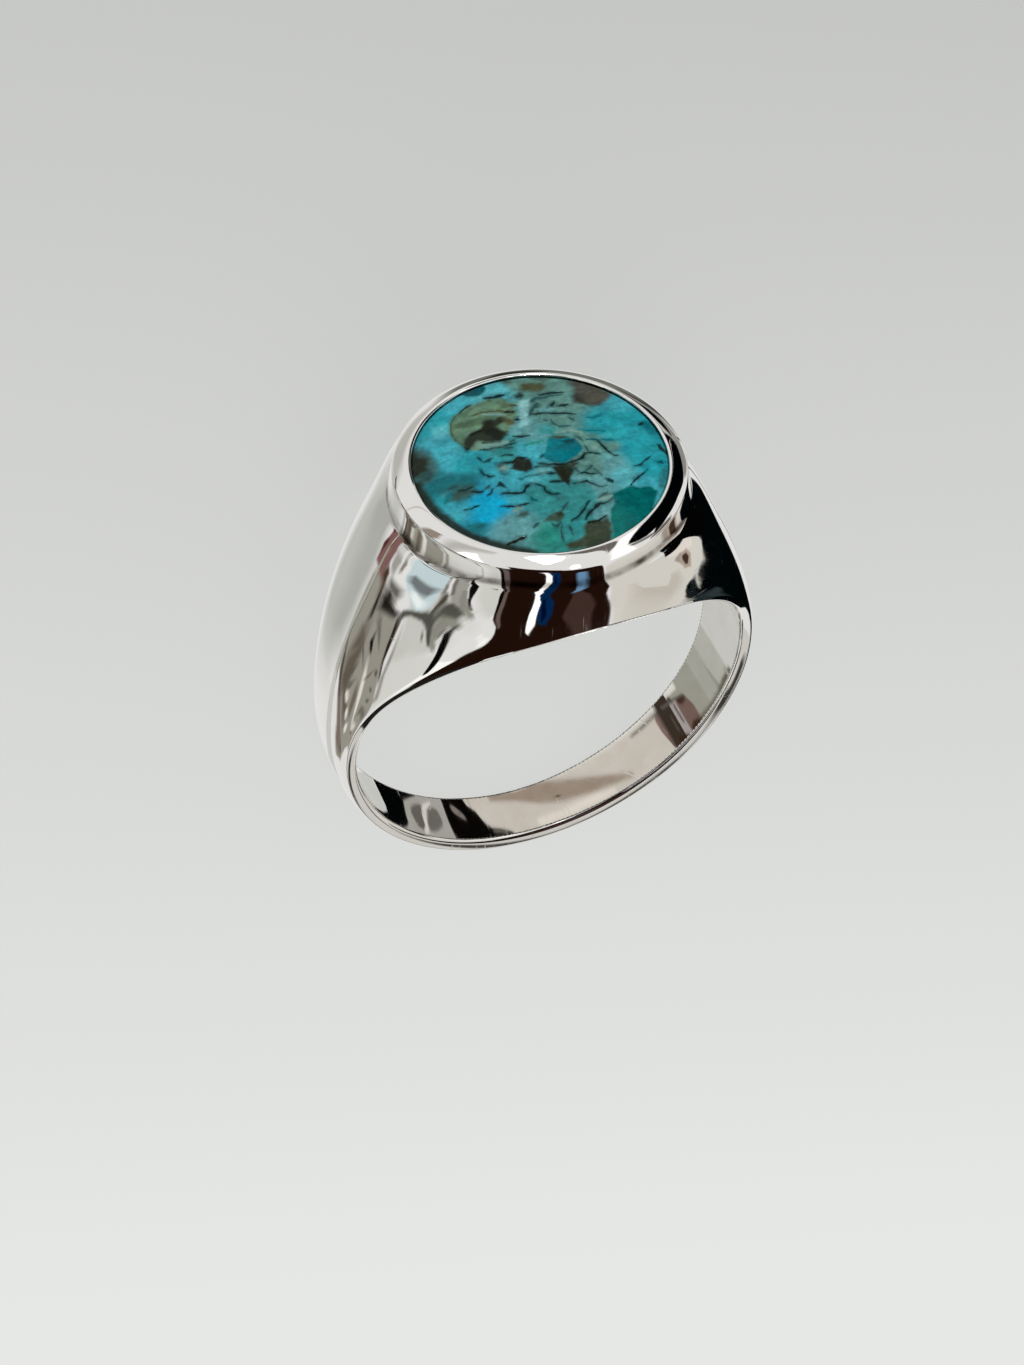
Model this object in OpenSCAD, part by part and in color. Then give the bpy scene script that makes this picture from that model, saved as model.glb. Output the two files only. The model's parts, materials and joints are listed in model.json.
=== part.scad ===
// Signet ring of polished silver with a round turquoise in a rub-over bezel.
// Millimetres. The ring lies on its side as it would on a table: it rests on the lower edge of its
// head and the lower edge of the back of its shank, so the finger hole leans a little.
// Inside the modules the ring is upright, with the finger hole along Z and the stone facing -Y.

/* [Finger hole] */
// Radius of the finger hole
bore_r = 9.5; // [9.25:0.05:9.75]

/* [Shank] */
// Half the width of the shank at its back
back_half_w = 1.4; // [1.2:0.05:1.7]
// Thickness of the shank at the middle of its back
back_wall = 1.1; // [0.9:0.05:1.4]
// Thickness of the flat rim at the back of the shank
back_rim = 0.62; // [0.5:0.02:0.7]

/* [Head] */
// Half the width of the head at the finger hole
head_half_w = 6.9; // [6.85:0.05:7.2]
// Distance from the middle of the finger hole to the flat on which the bezel is soldered
head_top = 12.15; // [12.05:0.05:12.25]
// Thickness of the flat rim along the edge of the head
head_rim = 0.2; // [0.15:0.01:0.25]

/* [Bezel] */
// Radius of the bezel at its foot
bezel_foot_r = 6.7; // [6.6:0.05:6.75]
// Radius of the crisp ridge where the bezel's wall meets its slope
bezel_ridge_r = 6.45; // [6.35:0.05:6.5]
// Distance from the middle of the finger hole to that ridge
bezel_ridge_top = 13.05; // [12.95:0.05:13.15]
// Radius of the lip that holds the stone
lip_r = 5.62; // [5.55:0.01:5.7]
// Distance from the middle of the finger hole to the lip
lip_top = 13.45; // [13.4:0.05:13.55]

/* [Stone] */
// Radius of the stone at its girdle
stone_r = 6.0; // [5.95:0.01:6.02]
// Radius of the stone where the lip ends
stone_face_r = 5.55; // [5.5:0.01:5.6]
// Distance from the middle of the finger hole to the back of the stone
stone_back = 11.75; // [11.7:0.05:11.85]
// Distance from the middle of the finger hole to the top of the girdle
girdle_top = 12.85; // [12.8:0.05:12.9]
// Rise of the stone's low dome
dome_rise = 0.45; // [0.3:0.05:0.6]

/* [Open back] */
// Radius of the round opening behind the stone
seat_r = 5.75; // [5.6:0.05:5.8]
// Thickness of the ledge that the stone rests on
seat_ledge = 0.3; // [0.25:0.05:0.4]
// Thickness of the head's wall beside the hollow, at the finger hole
hollow_wall = 1.35; // [1.2:0.05:1.4]

/* [Hidden] */
round_fn = 96;

// Clearance between the stone and its setting
stone_gap = 0.03;
// How far the stone's edge lies below the top of the lip
stone_below_lip = 0.09;
// How far the bezel's foot is sunk into the head
bezel_sink = 0.45;
// How far the bezel's ridge is rounded off
ridge_round = 0.07;
// How far the bezel's slope bulges over a straight line
slope_bulge = 0.08;
// Width of the lip's level top, and height of its inner edge
lip_flat = 0.12;
lip_edge = 0.08;
// How far a cutting or joining shape runs past the surface that it meets
past = 0.6;

// Sections of the ring from the stone, at turn 0, to the back of the shank, at turn 180.
// Columns: turn in degrees, half width at the finger hole, height of the crest over the hole,
// height of the flat rim, and squareness of the dome, where 2 is an ellipse
TURN = 0;
HALF_W = 1;
CREST = 2;
RIM = 3;
SQUARE = 4;
SECTIONS = [
    [0, head_half_w, 4.0, head_rim, 6.0],
    [10, head_half_w - 0.12, 4.1, head_rim, 4.6],
    [20, head_half_w - 0.5, 4.4, 0.21, 2.9],
    [29, head_half_w - 1.07, 4.05, 0.25, 2.0],
    [40, 5.06, 2.85, 0.3, 1.9],
    [55, 3.93, 1.72, 0.36, 1.9],
    [75, 2.62, 1.0, 0.42, 2.0],
    [100, 1.86, 0.95, 0.48, 2.1],
    [135, 1.56, 1.0, 0.56, 2.2],
    [180, back_half_w, back_wall, back_rim, 2.3]
];

// How far inside the finger hole the hollow's own shape starts
hollow_start = -0.8;
// Sections of the hollow under the stone. Columns: turn in degrees, half width, height over the
// hole, height at which it starts, and squareness
HOLLOW = [
    [0, head_half_w - hollow_wall, 3.0, hollow_start, 6.0],
    [20, head_half_w - hollow_wall - 0.45, 3.4, hollow_start, 3.4],
    [29, head_half_w - hollow_wall - 0.85, 3.1, hollow_start, 3.0],
    [40, 4.1, 2.0, hollow_start, 3.0],
    [50, 3.4, 1.3, hollow_start, 3.0],
    [60, 2.5, 0.75, hollow_start, 2.8],
    [69, 1.2, 0.1, hollow_start, 2.2]
];
hollow_turn = HOLLOW[len(HOLLOW) - 1][TURN];

// Sections round the whole ring, half a step off the middle of the stone, so that the ring rests on
// short level edges
section_count = 96;
section_step = 360 / section_count;
// Sections along the hollow
hollow_steps = 22;
// Faces across the dome of each section of the ring, and across the hollow's
dome_faces = 18;
hollow_faces = 12;

// Lean of the ring as it lies: the head's edge and the back's edge are both on the table
lean = atan((head_half_w - back_half_w) / (2 * bore_r + back_rim));
// Height of the middle of the finger hole over the table
hole_z = bore_r * sin(-lean) + head_half_w * cos(lean);
// The ring's reach in front of and behind the middle of the finger hole, as it lies
reach_front = lip_top * cos(lean) + (lip_r + lip_flat) * sin(lean);
reach_back = max([
    for (p = section_points(SECTIONS, 180, dome_faces, bore_r)) p.y * cos(lean) + p.z * sin(lean)
]);

// The row of a table that starts the stretch in which a turn lies
function row_at(table, turn, i = 0) =
    i >= len(table) - 2 || table[i + 1][TURN] > turn ? i : row_at(table, turn, i + 1);

// The slope of a column at one row, level at both ends of the table
function slope_at(table, i, column) =
    i == 0 || i == len(table) - 1 ? 0 :
    (table[i + 1][column] - table[i - 1][column]) / (table[i + 1][TURN] - table[i - 1][TURN]);

// A column of a table at any turn, on a smooth curve through its rows
function smooth_value(table, turn, column) =
    let (i = row_at(table, turn), a = table[i], b = table[i + 1])
    let (span = b[TURN] - a[TURN], u = (turn - a[TURN]) / span)
    let (start = slope_at(table, i, column) * span, end = slope_at(table, i + 1, column) * span)
    (2 * u ^ 3 - 3 * u ^ 2 + 1) * a[column] + (u ^ 3 - 2 * u ^ 2 + u) * start
        + (3 * u ^ 2 - 2 * u ^ 3) * b[column] + (u ^ 3 - u ^ 2) * end;

// A point at a turn round the finger hole, a distance out from its axis and a height along it
function ring_point(turn, out, z) = [out * sin(turn), -out * cos(turn), z];

// The points of one section: up over the dome from the upper rim to the lower one, then back
// inside the finger hole, where the hole is cut later
function section_points(table, turn, count, inside) =
    let (t = abs(turn), square = smooth_value(table, t, SQUARE), rim = smooth_value(table, t, RIM))
    let (half_w = smooth_value(table, t, HALF_W), dome = smooth_value(table, t, CREST) - rim)
    concat(
        [for (i = [0 : count])
            let (a = 180 * i / count)
            ring_point(turn, bore_r + rim + dome * abs(sin(a)) ^ (2 / square),
                half_w * sign(cos(a)) * abs(cos(a)) ^ (2 / square))],
        [ring_point(turn, inside, -half_w), ring_point(turn, inside, half_w)]
    );

// The two triangles of each face between one section and the next
function faces_between(a, b, per) = [
    for (i = [0 : per - 1], half = [0, 1])
        let (j = (i + 1) % per)
        half == 0 ? [a * per + i, b * per + i, b * per + j] : [a * per + i, b * per + j, a * per + j]
];

// A closed band of sections round the whole finger hole
module whole_band() {
    per = dome_faces + 3;
    turns = [for (k = [0 : section_count - 1]) (k + 0.5) * section_step];
    signed = [for (t = turns) t > 180 ? t - 360 : t];
    points = [for (t = signed) each section_points(SECTIONS, t, dome_faces, bore_r - past)];
    faces = [for (k = [0 : section_count - 1]) each faces_between(k, (k + 1) % section_count, per)];
    polyhedron(points, faces, convexity = 6);
}

// The hollow's band, closed at both ends
module hollow_band() {
    per = hollow_faces + 3;
    turns = [for (k = [0 : hollow_steps]) hollow_turn * (2 * k / hollow_steps - 1)];
    points = [for (t = turns) each section_points(HOLLOW, t, hollow_faces, bore_r - 2 * past)];
    sides = [for (k = [0 : hollow_steps - 1]) each faces_between(k, k + 1, per)];
    first = [[for (i = [0 : per - 1]) i]];
    last = [[for (i = [per - 1 : -1 : 0]) hollow_steps * per + i]];
    polyhedron(points, concat(sides, first, last), convexity = 6);
}

// Turns a shape drawn upwards from the middle of the hole so that up is the way the stone faces
module facing_stone() rotate([90, 0, 0]) children();

// A disc from one distance to another, on the stone's axis
module stone_disc(r, from, to) {
    facing_stone() translate([0, 0, from]) cylinder(r = r, h = to - from, $fn = round_fn);
}

// A slab that cuts off everything past a distance from the finger hole, on the stone's side
module slab_past(from) {
    reach = 4 * head_top;
    facing_stone() translate([-reach / 2, -reach / 2, from]) cube([reach, reach, head_top]);
}

module head_and_shank() {
    difference() {
        whole_band();
        slab_past(head_top);
    }
}

module bezel() {
    foot = head_top - bezel_sink;
    inner_r = stone_r + stone_gap;
    facing_stone() rotate_extrude($fn = round_fn) polygon([
        [inner_r, foot],
        [bezel_foot_r, foot],
        [bezel_foot_r, head_top],
        [bezel_ridge_r + ridge_round / 2, bezel_ridge_top - ridge_round],
        [bezel_ridge_r - ridge_round, bezel_ridge_top + ridge_round / 2],
        [(bezel_ridge_r + lip_r) / 2, (bezel_ridge_top + lip_top) / 2 + slope_bulge],
        [lip_r + lip_flat, lip_top],
        [lip_r, lip_top - lip_edge / 4],
        [lip_r, lip_top - lip_edge],
        [inner_r, girdle_top]
    ]);
}

// The hollow under the stone, stopped by the underside of the stone's ledge
module hollow() {
    difference() {
        hollow_band();
        slab_past(stone_back - seat_ledge);
    }
}

module silver_ring_upright() {
    difference() {
        union() {
            head_and_shank();
            bezel();
        }
        cylinder(r = bore_r, h = 4 * head_half_w, center = true, $fn = round_fn);
        hollow();
        stone_disc(seat_r, stone_back - seat_ledge - past / 2, head_top + past);
        stone_disc(stone_r + stone_gap, stone_back, girdle_top);
    }
}

// The stone's girdle, the bevel that the lip holds down, and its low dome
module turquoise_stone_upright() {
    back = stone_back + stone_gap;
    girdle = girdle_top - stone_gap;
    face_edge = lip_top - stone_below_lip - stone_gap;
    dome_r = (stone_face_r ^ 2 + dome_rise ^ 2) / (2 * dome_rise);
    dome_middle = face_edge + dome_rise - dome_r;
    stone_disc(stone_r, back, girdle);
    facing_stone() translate([0, 0, girdle])
        cylinder(r1 = stone_r, r2 = stone_face_r, h = face_edge - girdle, $fn = round_fn);
    intersection() {
        facing_stone() translate([0, 0, dome_middle]) sphere(r = dome_r, $fn = round_fn);
        stone_disc(stone_face_r, girdle, face_edge + 2 * dome_rise);
    }
}

// Lays an upright piece on the table, with the middle of the whole ring's box over the origin
module laid_down() {
    translate([0, (reach_front - reach_back) / 2, hole_z]) rotate([-lean, 0, 0]) children();
}

module silver_ring() color([0.86, 0.86, 0.87]) laid_down() silver_ring_upright();

module turquoise_stone() color([0.2, 0.62, 0.66]) laid_down() turquoise_stone_upright();

silver_ring();
turquoise_stone();
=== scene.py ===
"""Dresses the turquoise signet ring: its polished silver, its stone, and a plain studio round it."""

import json
import math
from collections import namedtuple

import bmesh
import bpy
import numpy as np
from bpy.props import FloatProperty, FloatVectorProperty, IntProperty, PointerProperty
from mathutils import Matrix, Vector, kdtree, noise


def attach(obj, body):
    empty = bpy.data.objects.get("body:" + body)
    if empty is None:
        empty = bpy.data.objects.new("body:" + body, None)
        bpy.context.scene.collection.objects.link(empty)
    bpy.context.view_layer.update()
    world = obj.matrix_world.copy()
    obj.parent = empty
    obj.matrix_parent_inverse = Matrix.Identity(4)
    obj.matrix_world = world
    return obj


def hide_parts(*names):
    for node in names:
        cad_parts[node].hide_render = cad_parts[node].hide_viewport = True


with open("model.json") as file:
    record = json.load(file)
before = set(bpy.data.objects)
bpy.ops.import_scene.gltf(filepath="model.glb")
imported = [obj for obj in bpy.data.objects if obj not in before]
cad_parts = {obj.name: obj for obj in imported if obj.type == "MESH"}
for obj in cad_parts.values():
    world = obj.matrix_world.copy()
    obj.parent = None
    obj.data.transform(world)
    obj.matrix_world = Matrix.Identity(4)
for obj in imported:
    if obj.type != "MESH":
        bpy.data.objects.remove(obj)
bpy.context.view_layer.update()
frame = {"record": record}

bl_info = {
    "name": "Turquoise signet ring",
    "version": (1, 0, 0),
    "blender": (4, 5, 0),
    "location": "3D View > Sidebar > Ring",
    "description": "Builds the polished silver, the turquoise and a plain studio round the ring's solids",
    "category": "Object",
}

MM = 0.001
# How bright the room's light leaves white on the stone's face, and what its polish adds to a tone
STONE_LIGHT = 0.74
STONE_SHEEN = 0.006
FINGER_HOLE = next(mount for mount in frame["record"]["mounts"] if mount["name"] == "finger_hole")
HOLE_MIDDLE = Vector(FINGER_HOLE["pos_m"])
HOLE_AXIS = Vector(FINGER_HOLE["axis"])
LEAN = math.atan2(HOLE_AXIS.y, HOLE_AXIS.z)
# From the upright ring, with the finger along Z and the stone facing -Y, to the ring as it lies
LAID_DOWN = Matrix.Translation(HOLE_MIDDLE) @ Matrix.Rotation(-LEAN, 4, "X")

# Points nearer than this are one point
MERGE = 0.0004 * MM

# The outside of the ring, from the stone at turn 0 to the back of the shank at 180 degrees, in mm:
# half the width at the finger hole, the crest's and the flat rim's heights over the hole, and how
# square the dome is, where 2 is an ellipse
Section = namedtuple("Section", "turn half_width crest rim squareness")
SECTIONS = (
    Section(0, 6.9, 4.0, 0.2, 5.4),
    Section(10, 6.78, 4.1, 0.2, 4.4),
    Section(20, 6.4, 4.4, 0.21, 2.9),
    Section(29, 5.83, 4.05, 0.25, 2.0),
    Section(40, 5.06, 2.85, 0.3, 1.9),
    Section(55, 3.93, 1.72, 0.36, 1.9),
    Section(75, 2.62, 1.0, 0.42, 2.0),
    Section(100, 1.86, 0.95, 0.48, 2.1),
    Section(135, 1.56, 1.0, 0.56, 2.2),
    Section(180, 1.4, 1.1, 0.62, 2.3),
)
# Loops of the head's outside, how they crowd towards the bezel, and how far from it the last one lies
HEAD_LOOPS, HEAD_CROWDING, FOOT_LOOP = 40, 0.8, 0.34 * MM
# Where the bezel's wall and slope have loops, as shares of the way up and in, and the slope's bulge
WALL_LOOPS = (0.42, 0.78)
SLOPE_LOOPS = (0.14, 0.3, 0.5, 0.7, 0.86)
SLOPE_BULGE = 0.3 * MM
# How far outside the lip's radius the slope ends, then the rounded lip: out from its radius and down
# from its top, in mm
SLOPE_END = 0.1 * MM
LIP = ((0.06, 0), (0, 0.035), (0.005, 0.08))
# Loops of the hollow and of the finger hole's wall, with how far outside the hollow the first one lies
HOLLOW_LOOPS, BORE_LOOPS, BORE_START = 18, 10, 0.06
# How square the hollow's edge is, and how its wall bulges and spreads on its way to it
HOLLOW_SQUARENESS, HOLLOW_BULGE, HOLLOW_SPREAD = 1.75, 1.25, 1.6
# The flat rim has one loop, at this share of its height
RIM_LOOP = 0.5
# Where the uneven filing starts and is full, as turns from the stone
FILING_START, FILING_FULL = math.radians(60), math.radians(110)
# From where to where each mark of wear fades: over the finger hole, round the pit, off the seam
HOLE_FADE, PIT_FADE, SEAM_FADE = (0.01 * MM, 0.08 * MM), (0.04 * MM, 0.13 * MM), (0.02 * MM, 0.09 * MM)
# How far inside the bezel's foot the seam runs, and how far over the finger hole it is looked for
SEAM_INSIDE, SEAM_OVER_HOLE = 0.03 * MM, 1.5 * MM

# Plain cards round the ring, which only its gloss sees. Each has a colour out of 255, a distance in
# metres, how soft its edge is in degrees, its shape, and a glow where that isn't 1. A sheet's outline,
# a strip's rows and a stroke's path are in degrees too: the azimuth turns from -Y towards +X, the
# elevation is over the floor. A strip's row ends with its lower and upper edge, a stroke's point with
# its width. Two dark cards stand 15 and 20.5 mm from the frame's origin, where the polish shows one
# direction twice, so that they darken only one of the two places
Sheet = namedtuple("Sheet", "name colour distance soft outline glow", defaults=(1,))
Strip = namedtuple("Strip", "name colour distance soft rows glow", defaults=(1,))
Stroke = namedtuple("Stroke", "name colour distance soft path glow", defaults=(1,))
SHEETS = (
    Sheet("flank_shade", (176, 177, 172), 3.9, 8,
          ((66, -44), (92, -46), (104, -45), (114, -48), (126, -54), (136, -62), (124, -72), (96, -72), (72, -62))),
    Sheet("flank_tail", (190, 191, 187), 3.8, 12,
          ((110, -58), (132, -56), (152, -64), (152, -76), (120, -78), (98, -72))),
    Sheet("front_shade", (202, 202, 196), 3.9, 5,
          ((90, -10), (104, -10), (108, -2), (110, 8), (112, 18), (110, 22), (98, 14), (90, 6))),
    Sheet("front_light", (216, 216, 211), 3.85, 5,
          ((104, -10), (112, -8), (128, -2), (142, 3), (146, 14), (134, 24), (120, 24), (110, 16), (104, 2))),
    Sheet("upper_shade", (210, 210, 204), 3.8, 8,
          ((70, 20), (90, 20), (108, 24), (122, 30), (116, 38), (90, 42), (68, 42))),
    Sheet("slope_shade", (186, 185, 180), 3.8, 10,
          ((-14, -42), (20, -44), (46, -46), (60, -54), (50, -70), (0, -72), (-18, -58))),
    Sheet("slope_grey", (188, 186, 180), 3.7, 6,
          ((6, 4), (24, 0), (44, 2), (62, 4), (62, 10), (40, 11), (18, 11))),
    Sheet("lip_shade", (112, 114, 107), 3.6, 6,
          ((-98, -40), (-60, -44), (-32, -40), (-14, -50), (-24, -72), (-60, -78), (-98, -68))),
    Sheet("dark_ceiling", (31, 15, 9), 3.0, 0.7,
          ((-5, 74), (5, 58), (15, 51), (25, 44), (33, 36), (40, 41), (50, 46), (60, 44), (68, 41), (80, 40.5),
           (90, 40), (100, 39.2), (110, 37), (120, 34), (127, 32), (140, 31), (147, 28), (151, 25.5), (156, 18),
           (160, 11.5), (163, 8), (170, 3), (175, -1), (-178, -5), (-170, 10), (-163, 20), (-158, 23), (-157.5, 29),
           (-156, 35), (-153, 40), (-149.5, 44), (-145, 50), (-140, 56), (-125, 66), (-90, 74), (-50, 78),
           (-25, 78))),
    Sheet("rim_light", (206, 204, 198), 2.7, 1,
          ((177, 8), (180, 17), (186, 23), (193, 25), (199, 23.5), (203, 17), (206, 8), (202, -2), (190, -6),
           (182, -2))),
    Sheet("cream_wall", (213, 210, 202), 3.4, 1,
          ((-140, 56), (-149, 43), (-158, 26), (-153, 0), (-149, -14), (-145.5, -11.5), (-141.5, -5.5), (-137.5, -3),
           (-134, -2.5), (-131, -3.4), (-126, -6.4), (-122.5, -9), (-120, -11.6), (-117.5, -14), (-115.5, -16.2),
           (-113.6, -19), (-111, -20.4), (-108, -19), (-104, -14), (-99, -8.2), (-94, -2), (-91.5, 7), (-93, 15),
           (-92, 30), (-105, 48), (-122, 54))),
    Sheet("wall_blush", (228, 219, 211), 3.2, 3,
          ((-110, -12), (-103, -14), (-98, 0), (-98, 22), (-104, 24), (-106, 4))),
    Sheet("wall_shade", (196, 190, 180), 3.2, 8,
          ((-152, 20), (-144, 2), (-132, 2), (-124, 8), (-130, 26), (-144, 32))),
    Sheet("dim_window", (160, 150, 141), 2.9, 2.5,
          ((-118, 5), (-112, 15), (-109, 14), (-106, 7), (-109, -3), (-116, -6))),
    Sheet("brown_knob", (66, 50, 42), 2.85, 1.6,
          ((-119, 0), (-114, 4), (-110, 4), (-110, -2), (-114, -5), (-119, -3))),
    Sheet("knob_ring", (176, 160, 146), 2.88, 2,
          ((-122, 1), (-116, 7), (-108, 7), (-107, -3), (-113, -8), (-121, -6))),
    Sheet("black_screen_left", (2, 5, 6), 2.8, 0.6,
          ((-156, -26), (-153, -19), (-149, -14), (-145.5, -11.5), (-141.5, -5.5), (-137.5, -3), (-134, -2.5),
           (-131, -3.4), (-126, -6.4), (-122.5, -9), (-120, -11.6), (-117.5, -14), (-115.5, -16.2), (-113.6, -19),
           (-111, -20.4), (-102, -31), (-107, -40),
           (-118, -44), (-127, -40), (-133, -36), (-145, -31))),
    Sheet("teal_gleam", (44, 54, 56), 2.7, 3,
          ((-148, -17), (-143, -8), (-137, -5), (-130, -5), (-131, -9), (-139, -12), (-145, -18))),
    Sheet("black_screen_edge", (3, 3, 3), 2.75, 0.8,
          ((-111, -20.4), (-108, -19), (-104, -14), (-99, -8.2), (-94, -2.2), (-91.5, 7), (-93, 15), (-96, 22),
           (-100, 26), (-94, 27), (-89, 26), (-86, 10), (-88, -2), (-93, -14), (-99, -26), (-104, -33),
           (-109, -28))),
    Sheet("near_screen", (2, 5, 6), 0.015, 0.5,
          ((-86, 49.8), (-80, 50.6), (-75, 50.3), (-71, 49.6), (-69, 48.6), (-67.6, 47.3), (-66.8, 46), (-66.3, 44.6),
           (-65.2, 43), (-64.4, 41.6), (-63.4, 40.3), (-63, 38), (-66, 36), (-71, 34.5), (-76, 35.5), (-80, 38.5),
           (-83, 42), (-86, 46))),
    Sheet("black_screen", (1, 2, 3), 2.8, 0.8,
          ((-61, 24), (-57, 22), (-54, 18), (-51, 24), (-45, 27), (-38, 27), (-33, 18), (-30, 5), (-27, -6),
           (-24, -17), (-20, -27), (-35, -28), (-50, -30), (-60, -31), (-67, -30), (-69, -20), (-70, -12), (-64, -3),
           (-61, 10))),
    Sheet("far_dark", (30, 29, 27), 2.75, 2.5,
          ((163, 0), (172, 3), (186, 2), (192, -3), (193, -12), (182, -15), (170, -12), (163, -6))),
    Sheet("slope_brown", (104, 97, 83), 2.65, 4,
          ((-75, 12), (-66, 10), (-61, 17), (-62, 28), (-70, 31), (-75, 22))),
    Sheet("screen_haze", (84, 80, 76), 2.9, 4, ((-62, 22), (-54, 24), (-44, 28), (-38, 31), (-44, 33), (-56, 28))),
    Sheet("black_shelf", (3, 4, 4), 2.8, 0.8,
          ((-20, -28.5), (-35, -30.5), (-50, -32.5), (-60, -33), (-66, -33), (-66, -39), (-58, -41), (-45, -38),
           (-33, -34))),
    Sheet("grey_curtain", (140, 139, 135), 3.2, 3,
          ((-66, -10), (-70, -14), (-78, -18), (-86, -28), (-84, -40), (-70, -45), (-50, -46), (-33, -38),
           (-24, -34), (-50, -30), (-64, -28))),
    Sheet("tall_white", (250, 249, 246), 2.7, 2.5,
          ((-62, 40), (-52, 36), (-42, 31), (-36, 28), (-31, 12), (-26, -2), (-22, -16), (-24, 5), (-27, 20),
           (-30, 34), (-38, 46), (-47, 55), (-58, 54)), 1.25),
    Sheet("lamp", (255, 255, 255), 2.2, 1,
          ((-12, -8), (-9, 3), (-9, 14), (-5, 26), (2, 33), (5, 32), (4, 20), (1, 10), (-5, 3)), 7),
    Sheet("lamp_top", (255, 255, 255), 2.2, 1.5, ((-14, 56), (-12, 46), (-8, 45), (-5, 52), (-6, 59)), 3),
    Sheet("spark", (255, 255, 255), 2.1, 1, ((-8, 12), (-6, 16), (-3, 16), (-1, 12), (-3, 8), (-6, 8)), 60),
    Sheet("white_right", (255, 253, 248), 2.7, 2,
          ((30, 15), (40, 13), (56, 13), (60, 16), (60, 26), (54, 30), (45, 26), (36, 19)), 1.5),
    Sheet("ridge_dark", (58, 50, 42), 2.7, 2,
          ((62, -54), (73, -54), (74, -20), (74, 10), (72, 36), (63, 36), (62, 0))),
    Sheet("brown_sofa", (148, 136, 124), 2.7, 2.5, ((31, -4), (45, -2), (60, -4), (68, -9), (55, -14), (40, -10))),
    Sheet("grey_dash", (96, 93, 86), 2.7, 1.5, ((38, -48), (48, -46), (60, -46), (60, -49), (48, -50))),
    Sheet("pane", (198, 215, 219), 2.8, 1.2,
          ((74, 3), (84, 2.5), (89.5, 2), (92.6, 3.5), (92.9, -4), (91, -10), (89, -15), (86, -19), (74, -19))),
    Sheet("red_cloth", (128, 93, 89), 2.8, 1.4,
          ((74, -30), (80, -30.5), (86, -32.5), (91, -34.5), (95.5, -36), (95.8, -46), (90, -45), (83, -42.5),
           (74, -40.5))),
    Sheet("grey_desk", (152, 149, 139), 2.9, 1.5,
          ((95, -13), (103, -15), (113, -10), (122, -4), (130, -1), (140, 2), (150, 1), (146, -4), (139, -10),
           (135, -20), (135, -30), (140, -38), (148, -44), (152, -49), (135, -46), (124, -44), (118, -45.5),
           (110, -44), (104, -44), (98, -44), (93, -38), (94, -30))),
)
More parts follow.
